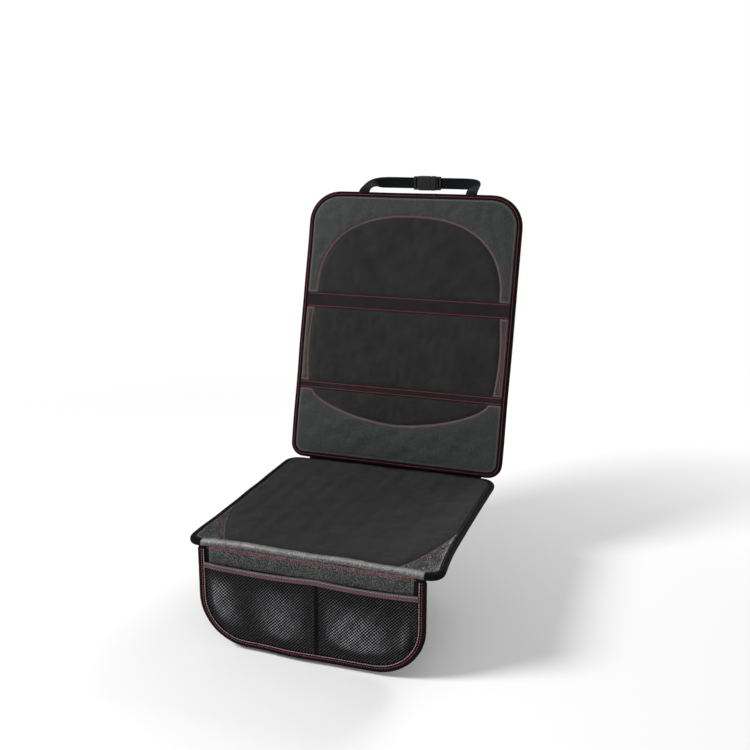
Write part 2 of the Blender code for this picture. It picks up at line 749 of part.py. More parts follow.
def build_buckle():
    y, z = buckle_place()
    joint = (SOCKET_LENGTH - PLUG_BASE_LENGTH) / 2
    frame = Matrix.Translation((0, y, z))
    half_t = BUCKLE_THICKNESS / 2
    half_h = BUCKLE_HEIGHT / 2
    tail_half_h = TAIL_HEIGHT / 2
    slot_half_h = STRAP_WIDTH / 2
    socket_back = joint - SOCKET_LENGTH

    def tail_slot(piece, name, x):
        combine(
            piece, name, (x - SLOT_WIDTH / 2, -half_t, -slot_half_h),
            (x + SLOT_WIDTH / 2, half_t, slot_half_h), "DIFFERENCE",
        )

    name = "buckle_socket"
    mesh = box_mesh(name, (socket_back, -half_t, -half_h), (joint, half_t, half_h), BUCKLE_ROUND)
    socket = place(name, mesh, frame, plastic(name))
    combine(
        socket, "socket_tail", (socket_back - TAIL_LENGTH, -TAIL_THICKNESS / 2, -tail_half_h),
        (socket_back + BUCKLE_ROUND * 2, TAIL_THICKNESS / 2, tail_half_h), "UNION", TAIL_ROUND,
    )
    cavity_y = half_t - CAVITY_WALL
    cavity_z = half_h - CAVITY_WALL
    combine(
        socket, "socket_cavity", (joint - CAVITY_DEPTH, -cavity_y, -cavity_z),
        (joint + CAVITY_WALL, cavity_y, cavity_z), "DIFFERENCE",
    )
    window_start = joint - CAVITY_DEPTH + CAVITY_WALL
    combine(
        socket, "socket_windows", (window_start, -cavity_y + BUCKLE_FIT, -BUCKLE_HEIGHT),
        (window_start + WINDOW_LENGTH, cavity_y - BUCKLE_FIT, BUCKLE_HEIGHT), "DIFFERENCE",
    )
    tail_slot(socket, "socket_slot", socket_back - TAIL_LENGTH / 2)

    name = "buckle_plug"
    start = joint + GAP
    base_end = start + PLUG_BASE_LENGTH
    mesh = box_mesh(name, (start, -half_t, -half_h), (base_end, half_t, half_h), BUCKLE_ROUND)
    plug = place(name, mesh, frame, plastic(name))
    combine(
        plug, "plug_tail", (base_end - BUCKLE_ROUND * 2, -TAIL_THICKNESS / 2, -tail_half_h),
        (base_end + TAIL_LENGTH, TAIL_THICKNESS / 2, tail_half_h), "UNION", TAIL_ROUND,
    )
    prong_y = cavity_y - BUCKLE_FIT
    prong_z = cavity_z - BUCKLE_FIT
    tip = start - PRONG_LENGTH
    root = start + BUCKLE_ROUND * 2
    for label, low_z, high_z in (
        ("upper_prong", prong_z - PRONG_WIDTH, prong_z),
        ("lower_prong", -prong_z, -prong_z + PRONG_WIDTH),
        ("guide", -GUIDE_WIDTH / 2, GUIDE_WIDTH / 2),
    ):
        combine(plug, label, (tip, -prong_y, low_z), (root, prong_y, high_z), "UNION")
    barb_low = window_start + BUCKLE_FIT
    barb_high = window_start + WINDOW_LENGTH - BUCKLE_FIT
    barb_y = prong_y - BUCKLE_FIT
    for label, low_z, high_z in (
        ("upper_barb", prong_z - PRONG_WIDTH / 2, half_h), ("lower_barb", -half_h, -prong_z + PRONG_WIDTH / 2),
    ):
        combine(plug, label, (barb_low, -barb_y, low_z), (barb_high, barb_y, high_z), "UNION")
    tail_slot(plug, "plug_slot", base_end + TAIL_LENGTH / 2)


start_scene()
build_seat()
build_front_facing()
build_flap()
build_pockets()
build_back()
build_crease()
build_straps()
build_buckle()
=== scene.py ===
import json
import math
from functools import partial
from itertools import permutations

import bmesh
import bpy
import numpy as np
from mathutils import Matrix, Vector
from mathutils.bvhtree import BVHTree
from mathutils.geometry import barycentric_transform, delaunay_2d_cdt


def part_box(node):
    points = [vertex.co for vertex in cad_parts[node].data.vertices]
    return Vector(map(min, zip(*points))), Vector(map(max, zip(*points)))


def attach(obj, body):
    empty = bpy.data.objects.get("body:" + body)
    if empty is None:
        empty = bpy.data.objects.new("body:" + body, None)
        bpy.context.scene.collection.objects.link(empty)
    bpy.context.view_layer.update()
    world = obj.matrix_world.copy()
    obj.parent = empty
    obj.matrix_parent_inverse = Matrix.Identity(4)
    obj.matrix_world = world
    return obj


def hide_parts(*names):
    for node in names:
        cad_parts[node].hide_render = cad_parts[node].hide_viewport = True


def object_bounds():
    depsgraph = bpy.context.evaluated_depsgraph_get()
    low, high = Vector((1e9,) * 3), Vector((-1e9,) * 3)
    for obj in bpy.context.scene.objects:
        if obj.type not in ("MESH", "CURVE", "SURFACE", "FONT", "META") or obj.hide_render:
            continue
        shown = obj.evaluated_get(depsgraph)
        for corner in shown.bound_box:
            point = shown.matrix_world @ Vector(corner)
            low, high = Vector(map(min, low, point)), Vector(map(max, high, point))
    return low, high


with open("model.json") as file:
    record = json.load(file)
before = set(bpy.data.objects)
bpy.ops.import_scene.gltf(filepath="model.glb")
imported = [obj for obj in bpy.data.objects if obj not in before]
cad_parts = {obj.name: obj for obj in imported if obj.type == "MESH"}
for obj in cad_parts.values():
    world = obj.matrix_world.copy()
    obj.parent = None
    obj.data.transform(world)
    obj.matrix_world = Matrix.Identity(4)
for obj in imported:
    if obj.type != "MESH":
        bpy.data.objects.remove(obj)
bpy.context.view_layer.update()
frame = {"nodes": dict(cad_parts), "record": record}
scene = bpy.context.scene

# places in which flat pieces are drawn: local X and Y lie in the piece, local Z leaves its face


def placeOf(origin, up, face):
    place = Matrix((Vector((1, 0, 0)), Vector(up), Vector(face))).transposed().to_4x4()
    place.translation = Vector(origin)
    return place


def nodeMesh(node, place):
    # the node's loose triangles merged, in the place's own axes
    shape = bmesh.new()
    shape.from_mesh(frame["nodes"][node].data)
    bmesh.ops.remove_doubles(shape, verts=shape.verts, dist=1e-5)
    bmesh.ops.transform(shape, matrix=place.inverted(), verts=shape.verts)
    return shape


def nodeSpan(node, place):
    shape = nodeMesh(node, place)
    corners = np.array([v.co for v in shape.verts])
    shape.free()
    return corners.min(axis=0), corners.max(axis=0)


def counterClockwise(outline):
    x, y = outline.T
    return outline[::-1] if np.sum(x * np.roll(y, -1) - y * np.roll(x, -1)) < 0 else outline


def nodeOutline(node, place):
    # rim of the node's flat underside, counter-clockwise
    shape = nodeMesh(node, place)
    low = min(v.co.z for v in shape.verts)
    under = {f for f in shape.faces if max(v.co.z for v in f.verts) < low + 2e-4}
    beside = {}
    for edge in shape.edges:
        if sum(face in under for face in edge.link_faces) == 1:
            a, b = edge.verts
            beside.setdefault(a, []).append(b)
            beside.setdefault(b, []).append(a)
    first = next(iter(beside))
    loop, last, here = [first], first, beside[first][0]
    while here is not first:
        loop.append(here)
        last, here = here, next(v for v in beside[here] if v is not last)
    outline = np.array([(v.co.x, v.co.y) for v in loop])
    shape.free()
    return counterClockwise(outline)


backMount = next(m for m in frame["record"]["mounts"] if m["name"] == "back_face")
backFace = -Vector(backMount["axis"])
seatPlace = placeOf((0, 0, 0), (0, 1, 0), (0, 0, 1))
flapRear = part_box("front_flap")[1][1]
flapPlace = placeOf((0, flapRear, 0), (0, 0, 1), (0, -1, 0))
backPlace = placeOf(backMount["pos_m"], backFace.cross(Vector((1, 0, 0))), backFace)
backSpan = nodeSpan("back_binding", backPlace)
backPlace = backPlace @ Matrix.Translation((0, backSpan[0][1], 0))
print("frame loaded")

# flat work: outlines, distances and meshes


def reachOf(line):
    # how far along the line each of its points is
    return np.concatenate([[0], np.cumsum(np.linalg.norm(np.diff(line, axis=0), axis=1))])


def valuesAt(wanted, reach, values):
    return np.column_stack([np.interp(wanted, reach, column) for column in values.T])


def soften(line, times):
    for _ in range(times):
        line[1:-1] = (line[:-2] + 2 * line[1:-1] + line[2:]) / 4


def resample(points, spacing, closed=True, corner=25):
    # even spacing along the line; corners sharper than this angle stay where they are
    points = np.asarray(points, float)
    ahead = np.roll(points, -1, axis=0) - points
    back = points - np.roll(points, 1, axis=0)
    turn = np.degrees(np.arctan2(
        back[:, 0] * ahead[:, 1] - back[:, 1] * ahead[:, 0], (back * ahead).sum(1)))
    keep = [0, len(points) - 1]
    if closed:
        keep = [i for i in range(len(points)) if abs(turn[i]) > corner] or [0]
        points = np.vstack([points[keep[0]:], points[:keep[0] + 1]])
        keep = [k - keep[0] for k in keep] + [len(points) - 1]
    line = []
    for a, b in zip(keep, keep[1:]):
        run = points[a:b + 1]
        reach = reachOf(run)
        count = max(1, round(reach[-1] / spacing))
        spread = valuesAt(np.linspace(0, reach[-1], count + 1), reach, run)
        if count > 2:
            soften(spread, 3)
        line.extend(spread[:-1])
    if not closed:
        line.append(points[-1])
    return np.array(line)


def inwardNormals(line, closed=True):
    ahead = np.roll(line, -1, axis=0) - line
    back = line - np.roll(line, 1, axis=0)
    if not closed:
        ahead[-1] = back[-1]
        back[0] = ahead[0]
    along = sum(way / np.linalg.norm(way, axis=1)[:, None] for way in (ahead, back))
    along /= np.linalg.norm(along, axis=1)[:, None]
    return np.column_stack([-along[:, 1], along[:, 0]])


def lineDistance(points, line, closed=True):
    # distance from each point to the line, and how far along it the nearest spot is
    start = np.asarray(line)
    step = np.roll(start, -1, axis=0) - start
    if not closed:
        start, step = start[:-1], step[:-1]
    length = np.linalg.norm(step, axis=1)
    before = np.concatenate([[0], np.cumsum(length)[:-1]])
    gaps, places = [], []
    for part in np.array_split(points, max(1, len(points) // 2000)):
        ahead = part[:, None, :] - start[None]
        share = np.clip((ahead * step).sum(-1) / length ** 2, 0, 1)
        gap = np.linalg.norm(ahead - share[..., None] * step, axis=-1)
        best = gap.argmin(1)
        rows = np.arange(len(part))
        gaps.append(gap[rows, best])
        places.append(before[best] + share[rows, best] * length[best])
    return np.concatenate(gaps), np.concatenate(places)


def edgeDistance(points, outline):
    return lineDistance(points, outline)[0]


def inside(points, outline):
    start = np.asarray(outline)
    end = np.roll(start, -1, axis=0)
    found = []
    for part in np.array_split(points, max(1, len(points) // 2000)):
        x, y = part[:, :1], part[:, 1:]
        crosses = (start[:, 1] > y) != (end[:, 1] > y)
        with np.errstate(divide="ignore", invalid="ignore"):
            slope = (end[:, 0] - start[:, 0]) / (end[:, 1] - start[:, 1])
            at = start[:, 0] + (y - start[:, 1]) * slope
        found.append((crosses & (x < at)).sum(1) % 2 == 1)
    return np.concatenate(found)


rowStep = 0.866  # between rows of even triangles with sides of 1


def flatMesh(edge, spacing, rings=()):
    # triangles inside the edge, finer towards it; the first points are the edge's own
    groups = [edge]
    normals = inwardNormals(edge)
    for inset in rings:
        ring = edge + normals * inset
        good = inside(ring, edge) & (edgeDistance(ring, edge) > 0.95 * inset)
        groups.append(ring[good])
    low, high = edge.min(0), edge.max(0)
    grid = []
    for k, row in enumerate(np.arange(low[1], high[1], spacing * rowStep)):
        across = np.arange(low[0] + spacing * (k % 2) / 2, high[0], spacing)
        grid.append(np.column_stack([across, np.full(len(across), row)]))
    grid = np.vstack(grid)
    grid = grid[inside(grid, edge)]
    reach = (rings[-1] if rings else 0) + 0.55 * spacing
    groups.append(grid[edgeDistance(grid, edge) > reach])
    points = np.vstack(groups)
    count = len(edge)
    bounds = [(i, (i + 1) % count) for i in range(count)]
    verts, _, faces, *_ = delaunay_2d_cdt([Vector(p) for p in points], bounds, [], 1, 1e-7)
    return np.array([tuple(v) for v in verts]), [tuple(f) for f in faces]


def smoothStep(x, low, high):
    t = np.clip((x - low) / (high - low), 0, 1)
    return t * t * (3 - 2 * t)


def ripples(x, y, seed, sizes, height, second=0.5):
    # soft uneven waves: a few crossing sines of each size, the second size at its share of the height
    draw = np.random.default_rng(seed)
    total = np.zeros_like(x)
    for size, share in zip(sizes, (1, second)):
        for _ in range(4):
            angle, phase = draw.uniform(0, math.pi), draw.uniform(0, 2 * math.pi)
            wave = 2 * math.pi / (size * draw.uniform(0.8, 1.3))
            total += height * share / 2 * np.sin(
                wave * (x * math.cos(angle) + y * math.sin(angle)) + phase)
    return total


# how the soft mat settles: every piece and stitch of a panel moves with it

settle = {
    "cornerDrop": 0.0045, "cornerFlare": 0.0045, "cornerLength": 0.11, "cornerWidth": 0.09,
    "sideWaist": 0.0025, "seatWave": 0.0008, "flapWave": 0.0022, "flapTop": 0.015, "backWave": 0.0012,
}
seatLow, seatHigh = (np.array(v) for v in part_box("seat_binding"))
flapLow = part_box("flap_binding")[0]


def settleSeat(points):
    x, y, z = points.T.copy()
    front = smoothStep(-y, -seatLow[1] - settle["cornerLength"], -seatLow[1])
    side = smoothStep(abs(x), seatHigh[0] - settle["cornerWidth"], seatHigh[0])
    z = z - settle["cornerDrop"] * front * side
    length = seatHigh[1] - seatLow[1]
    middle = np.sin(math.pi * np.clip((y - seatLow[1]) / length, 0, 1))
    wide = abs(x) / seatHigh[0]
    x = x + np.sign(x) * (settle["cornerFlare"] * front * side - settle["sideWaist"] * middle * wide ** 2)
    z = z + ripples(x, y, 3, (0.16, 0.09), settle["seatWave"])
    return np.column_stack([x, y, z])


def settleFlap(points):
    x, y, z = points.T.copy()
    hang = smoothStep(-z, settle["flapTop"], -flapLow[2])
    y = y + hang * ripples(x, z * 0.4, 8, (0.20, 0.11), settle["flapWave"])
    return np.column_stack([x, y, z])


def settleBack(points):
    x, y, z = points.T
    height = z / backPlace.to_3x3()[2][1]
    lift = ripples(x, height, 5, (0.26, 0.14), settle["backWave"])
    return points + lift[:, None] * np.array(backFace)


def stay(points):
    return points


# where the three panels lie and how they settle
onSeat, onFlap, onBack = (seatPlace, settleSeat), (flapPlace, settleFlap), (backPlace, settleBack)


def turnWith(directions, place):
    return directions @ np.array(place.to_3x3()).T


def toWorld(points, panel):
    place, settlePoints = panel
    return settlePoints(turnWith(points, place) + np.array(place.translation))


# pieces: each takes the finish named first in its cloth and stands for some nodes


def makePiece(name, points, faces, cloth, nodes, uv, smooth=40, paintedHighlightAndPaleBack=None):
    mesh = bpy.data.meshes.new(name)
    mesh.from_pydata([tuple(p) for p in points], [], [tuple(f) for f in faces])
    mesh.update()
    layer = mesh.uv_layers.new(name="cloth")
    corner = np.empty(len(mesh.loops), int)
    mesh.loops.foreach_get("vertex_index", corner)
    layer.data.foreach_set("uv", np.asarray(uv, float)[corner].ravel())
    # a share per point of painted highlight, and on the flap cloth of its paler back, which the finish
    # mixes in
    if paintedHighlightAndPaleBack is not None:
        wearAndHighlight = mesh.attributes.new("paintedHighlightAndPaleBack", "FLOAT", "POINT")
        wearAndHighlight.data.foreach_set("value", np.asarray(paintedHighlightAndPaleBack, np.float32))
    piece = bpy.data.objects.new(name, mesh)
    scene.collection.objects.link(piece)
    piece.data.materials.append(finish[cloth[0]])
    mesh.shade_smooth()
    mesh.set_sharp_from_angle(angle=math.radians(smooth))
    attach(piece, "root")
    if nodes:
        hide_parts(*nodes)
    shape = bmesh.new()
    shape.from_mesh(mesh)
    bmesh.ops.recalc_face_normals(shape, faces=shape.faces)
    shape.to_mesh(mesh)
    shape.free()
    return piece


def clothCreases(name, outline, looks, seed):
    # a cover a little larger than its sewn outline, held down by its wadding, creases at its seams
    edge = resample(outline, looks["cell"])
    points, faces = flatMesh(edge, looks["cell"])
    away = edgeDistance(points, edge)
    draw = np.random.default_rng(seed)
    start = np.where(away > 1e-5, draw.normal(0, 0.00015, len(points)), 0)
    mesh = bpy.data.meshes.new(name + "Cloth")
    mesh.from_pydata([(x, y, z) for (x, y), z in zip(points, start)], [], faces)
    cover = bpy.data.objects.new(name + "Cloth", mesh)
    scene.collection.objects.link(cover)
    sewn = cover.vertex_groups.new(name="sewn")
    slack = cover.vertex_groups.new(name="slack")
    for i, gap in enumerate(away):
        sewn.add([i], 1.0 if gap < 1e-5 else looks["wadding"], "REPLACE")
        slack.add([i], math.exp(-gap / looks["reach"]), "REPLACE")
    cloth = cover.modifiers.new("cloth", "CLOTH")
    settings = {
        "quality": 5, "mass": 0.2, "tension_stiffness": 20, "compression_stiffness": 20,
        "shear_stiffness": 10, "bending_stiffness": looks["stiffness"], "pin_stiffness": 1.0,
        "vertex_group_mass": "sewn", "vertex_group_shrink": "slack",
        "shrink_min": -looks["slack"] * 0.15, "shrink_max": -looks["slack"],
        "use_pressure": True, "uniform_pressure_force": looks["pressure"]}
    for setting, value in settings.items():
        setattr(cloth.settings, setting, value)
    cloth.settings.effector_weights.gravity = 0
    cloth.point_cache.frame_start = 1
    cloth.point_cache.frame_end = looks["frames"]
    for step in range(1, looks["frames"] + 1):
        scene.frame_set(step)
    graph = bpy.context.evaluated_depsgraph_get()
    done = cover.evaluated_get(graph).to_mesh()
    moved = np.array([v.co.z for v in done.vertices])
    cover.evaluated_get(graph).to_mesh_clear()
    bpy.data.objects.remove(cover)
    scene.frame_set(1)
    moved = np.clip(np.nan_to_num(moved), -looks["cap"], looks["cap"])
    flat = [Vector((x, y, 0)) for x, y in points]
    raised = [Vector((x, y, z)) for (x, y), z in zip(points, moved)]
    tree = BVHTree.FromPolygons(flat, faces)

    def creaseAt(wanted):
        heights = []
        for x, y in wanted:
            spot, _, face, _ = tree.find_nearest(Vector((x, y, 0)))
            corners = faces[face]
            heights.append(barycentric_transform(
                spot, *(flat[c] for c in corners), *(raised[c] for c in corners)).z)
        return np.array(heights)

    print(name, "creases", *(round(float(v) * 1000, 2) for v in (moved.min(), moved.max())), "mm")
    return creaseAt


# painted highlight: a pale band just inside the rim of each zone, standing for light caught on its shoulder
edgeHighlightBand = {"inset": 0.0024, "width": 0.0016}


def coverPiece(name, outline, base, heightAt, mapping, looks, cloth, nodes):
    # closed body under a soft cover: fine on top, coarse below, one wall round the rim
    edge = resample(outline, looks["spacing"] * 0.75)
    count = len(edge)
    topFlat, topFaces = flatMesh(edge, looks["spacing"], looks["rings"])
    lowFlat, lowFaces = flatMesh(edge, looks["spacing"] * 4)
    away = edgeDistance(topFlat, edge)
    top = np.column_stack([topFlat, heightAt(topFlat, away)])
    low = np.column_stack([lowFlat, np.full(len(lowFlat), base)])
    shift = len(top)
    faces = topFaces + [tuple(shift + i for i in reversed(f)) for f in lowFaces]
    faces += [(i, shift + i, shift + (i + 1) % count, (i + 1) % count) for i in range(count)]
    points = np.vstack([top, low])
    wearAndHighlight = edgeHighlightBand
    # painted highlight along the band inside the rim, joined by any other painted highlight that the looks
    # give
    paintedHighlightAndPaleBack = looks.get("edgeHighlightShare", 1.0) * np.exp(-((away - wearAndHighlight["inset"]) / wearAndHighlight["width"]) ** 2)
    if "worn" in looks:
        paintedHighlightAndPaleBack = np.maximum(paintedHighlightAndPaleBack, looks["worn"](topFlat))
    paintedHighlightAndPaleBack = np.concatenate([paintedHighlightAndPaleBack, np.zeros(len(low))])
    piece = makePiece(name, mapping(points), faces, cloth, nodes, points[:, :2], paintedHighlightAndPaleBack=paintedHighlightAndPaleBack)
    return piece


# finishes


def fillInputs(tree, node, values=(), named=None):
    # a socket given as a value is linked, anything else is set
    pairs = list(zip(values, node.inputs))
    pairs += [(value, node.inputs[name]) for name, value in (named or {}).items()]
    for value, socket in pairs:
        if isinstance(value, bpy.types.NodeSocket):
            tree.links.new(value, socket)
        else:
            socket.default_value = value


def addNode(tree, kind, *values, named=None, **fields):
    node = tree.nodes.new("ShaderNode" + kind)
    for field, value in fields.items():
        setattr(node, field, value)
    fillInputs(tree, node, values, named)
    return node.outputs


def mathNode(tree, operation, *values):
    return addNode(tree, "Math", *values, operation=operation)[0]


def vectorNode(tree, operation, *values, output="Vector", **named):
    return addNode(tree, "VectorMath", *values, named=named, operation=operation)[output]


def rangeNode(tree, value, low, high, toLow=0.0, toHigh=1.0):
    return addNode(tree, "MapRange", value, low, high, toLow, toHigh, interpolation_type="SMOOTHSTEP")[0]


def noiseNode(tree, place, scale, detail=2.0, roughness=0.5, output="Fac"):
    named = {"Vector": place, "Scale": scale, "Detail": detail, "Roughness": roughness}
    return addNode(tree, "TexNoise", named=named)[output]


def mixNode(tree, share, low, high):
    return addNode(tree, "Mix", named={"Factor": share, "A": low, "B": high}, data_type="RGBA")["Result"]


def newGroup(name, outputs, **inputs):
    # a node group that is given a place and some numbers
    group = bpy.data.node_groups.new(name, "ShaderNodeTree")
    group.interface.new_socket("Place", in_out="INPUT", socket_type="NodeSocketVector")
    for label, value in inputs.items():
        socket = group.interface.new_socket(label, in_out="INPUT", socket_type="NodeSocketFloat")
        socket.default_value = value
    for label in outputs:
        group.interface.new_socket(label, in_out="OUTPUT", socket_type="NodeSocketFloat")
    given, result = group.nodes.new("NodeGroupInput"), group.nodes.new("NodeGroupOutput")

    def giveOut(*values):
        fillInputs(group, result, values)
        return group

    return group, given.outputs, giveOut, partial(mathNode, group)


def makeGrain(dimensions):
    # pebbled skin: domed cells with soft valleys, uneven in height, finely pitted
    group, given, giveOut, calc = newGroup(
        "pebbleGrain" + dimensions, ("Height", "Peaks"), Cells=420.0, Mottle=0.0)
    place, cells = given["Place"], given["Cells"]
    bend = noiseNode(group, place, calc("MULTIPLY", cells, 0.55), output="Color")
    bend = vectorNode(group, "SUBTRACT", bend, (0.5, 0.5, 0.5))
    bend = vectorNode(group, "SCALE", bend, Scale=calc("DIVIDE", 0.9, cells))
    cell = addNode(
        group, "TexVoronoi", voronoi_dimensions=dimensions, feature="SMOOTH_F1",
        named={"Smoothness": 0.25, "Vector": vectorNode(group, "ADD", place, bend), "Scale": cells})
    dome = rangeNode(group, cell["Distance"], 0.08, 0.62, 1.0, 0.0)
    uneven = noiseNode(group, place, calc("MULTIPLY", cells, 0.2), 1.0)
    dome = calc("MULTIPLY", dome, rangeNode(group, uneven, 0.3, 0.7, 0.55, 1.0))
    fine = noiseNode(group, place, calc("MULTIPLY", cells, 4.0), 2.0)
    height = calc("MULTIPLY_ADD", fine, 0.12, dome)
    tone = addNode(group, "SeparateXYZ", cell["Color"])["X"]
    spread = noiseNode(group, place, calc("MULTIPLY", cells, 0.62), 2.0, 0.7)
    spread = calc("ADD", rangeNode(group, spread, 0.36, 0.64), tone)
    share = calc("MULTIPLY_ADD", calc("SUBTRACT", spread, 1.0), given["Mottle"], 1.0)
    return giveOut(height, calc("MULTIPLY", rangeNode(group, height, 0.15, 0.85), share))


def makeWeave():
    # over and under threads, with a pitch for each direction
    group, given, giveOut, calc = newGroup(
        "threadWeave", ("Height", "Peaks"), Along=0.0012, Across=0.0012)
    split = addNode(group, "SeparateXYZ", given["Place"])
    u, v = calc("DIVIDE", split["X"], given["Across"]), calc("DIVIDE", split["Y"], given["Along"])
    over = calc("FLOORED_MODULO", calc("ADD", calc("FLOOR", u), calc("FLOOR", v)), 2.0)
    waveU, waveV = (calc("ABSOLUTE", calc("SINE", calc("MULTIPLY", w, math.pi))) for w in (u, v))
    warp = calc("MULTIPLY", waveU, calc("MULTIPLY_ADD", waveV, 0.5, 0.5))
    weft = calc("MULTIPLY", waveV, calc("MULTIPLY_ADD", waveU, 0.5, 0.5))
    under = calc("SUBTRACT", 1.0, over)
    height = calc("ADD", calc("MULTIPLY", over, warp), calc("MULTIPLY", under, weft))
    return giveOut(height, rangeNode(group, height, 0.35, 0.95))


def makeWear():
    # broad patches where the surface is rubbed or dusty, and tiny pale specks of lint
    group, given, giveOut, calc = newGroup("wearAndLint", ("Patches", "Lint"), Patch=14.0)
    place = given["Place"]
    broad = noiseNode(group, place, given["Patch"], 3.0, 0.6)
    speck, where = noiseNode(group, place, 1900.0, 1.0), noiseNode(group, place, 120.0, 2.0)
    lint = calc("MULTIPLY", rangeNode(group, speck, 0.68, 0.76), rangeNode(group, where, 0.45, 0.65))
    return giveOut(rangeNode(group, broad, 0.25, 0.75), lint)


def makeGripDots():
    # rubber dots in staggered rows on a felt ground
    group, given, giveOut, calc = newGroup("gripDots", ("Height", "Peaks"), Pitch=0.006)
    split = addNode(group, "SeparateXYZ", given["Place"])
    v = calc("DIVIDE", split["Y"], given["Pitch"])
    shift = calc("MULTIPLY", calc("FLOORED_MODULO", calc("FLOOR", v), 2.0), 0.5)
    u = calc("ADD", calc("DIVIDE", split["X"], given["Pitch"]), shift)
    du, dv = (calc("SUBTRACT", calc("FRACT", w), 0.5) for w in (u, v))
    gap = calc("SQRT", calc("ADD", calc("MULTIPLY", du, du), calc("MULTIPLY", dv, dv)))
    dot = rangeNode(group, gap, 0.15, 0.27, 1.0, 0.0)
    felt = noiseNode(group, given["Place"], 1500.0, 3.0, 0.7)
    ground = rangeNode(group, felt, 0.35, 0.65, 0.0, 0.45)
    return giveOut(calc("MULTIPLY_ADD", felt, 0.35, dot), calc("MAXIMUM", dot, ground))


grainGroup, solidGrain, weaveGroup = makeGrain("2D"), makeGrain("3D"), makeWeave()
wearGroup, dotGroup = makeWear(), makeGripDots()


def softFinish(name, looks):
    # cloth or leatherette: pattern height darkens the valleys and lifts the peaks, wear shifts both
    material = bpy.data.materials.new(name)
    material.use_nodes = True
    tree = material.node_tree
    calc = partial(mathNode, tree)
    if looks.get("onObject"):
        place = addNode(tree, "TexCoord")["Object"]
    else:
        place = addNode(tree, "UVMap", uv_map="cloth")[0]
    if "cells" in looks:
        group = solidGrain if looks.get("onObject") else grainGroup
        numbers = {"Cells": looks["cells"], "Mottle": looks.get("mottle", 0.0)}
    elif "dots" in looks:
        group, numbers = dotGroup, {"Pitch": looks["dots"]}
    else:
        group, numbers = weaveGroup, {"Across": looks["across"], "Along": looks["along"]}
    pattern = addNode(tree, "Group", node_tree=group, named={"Place": place, **numbers})
    wearAndHighlight = addNode(tree, "Group", node_tree=wearGroup, named={
        "Place": place, "Patch": looks.get("patch", 14.0)})
    peaks, patches = pattern["Peaks"], wearAndHighlight["Patches"]
    shade = calc("MULTIPLY_ADD", patches, looks.get("patchShare", 0.25), peaks)
    color = mixNode(
        tree, rangeNode(tree, shade, 0.0, 1.25), (*looks["dark"], 1), (*looks["light"], 1))
    color = mixNode(tree, calc("MULTIPLY", wearAndHighlight["Lint"], looks["lint"]), color, (0.20, 0.20, 0.21, 1))
    # painted highlight mixed in where the piece's attribute asks for it, broken up a little by the broad
    # patches; on the flap cloth the same mix gives the paler back of the cloth
    if "paintedHighlightAndPaleBack" in looks:
        edge = addNode(tree, "Attribute", attribute_name="paintedHighlightAndPaleBack")["Fac"]
        share = calc("MULTIPLY_ADD", patches, 0.2 * looks["paintedHighlightAndPaleBack"], 0.8 * looks["paintedHighlightAndPaleBack"])
        color = mixNode(tree, calc("MULTIPLY", edge, share), color, (*looks["paintedHighlightAndBackColor"], 1))
    rough = calc("MULTIPLY_ADD", patches, -0.06, looks["rough"])
    rough = calc("MULTIPLY_ADD", peaks, looks.get("peakRough", -0.08), rough)
    bump = addNode(tree, "Bump", named={"Distance": looks["depth"], "Height": pattern["Height"]})[0]
    fillInputs(tree, tree.nodes["Principled BSDF"], named={
        "Base Color": color, "Roughness": rough, "Normal": bump, "Specular IOR Level": looks["specular"],
        "Sheen Weight": looks.get("sheen", 0.0), "Sheen Roughness": 0.5})
    return material
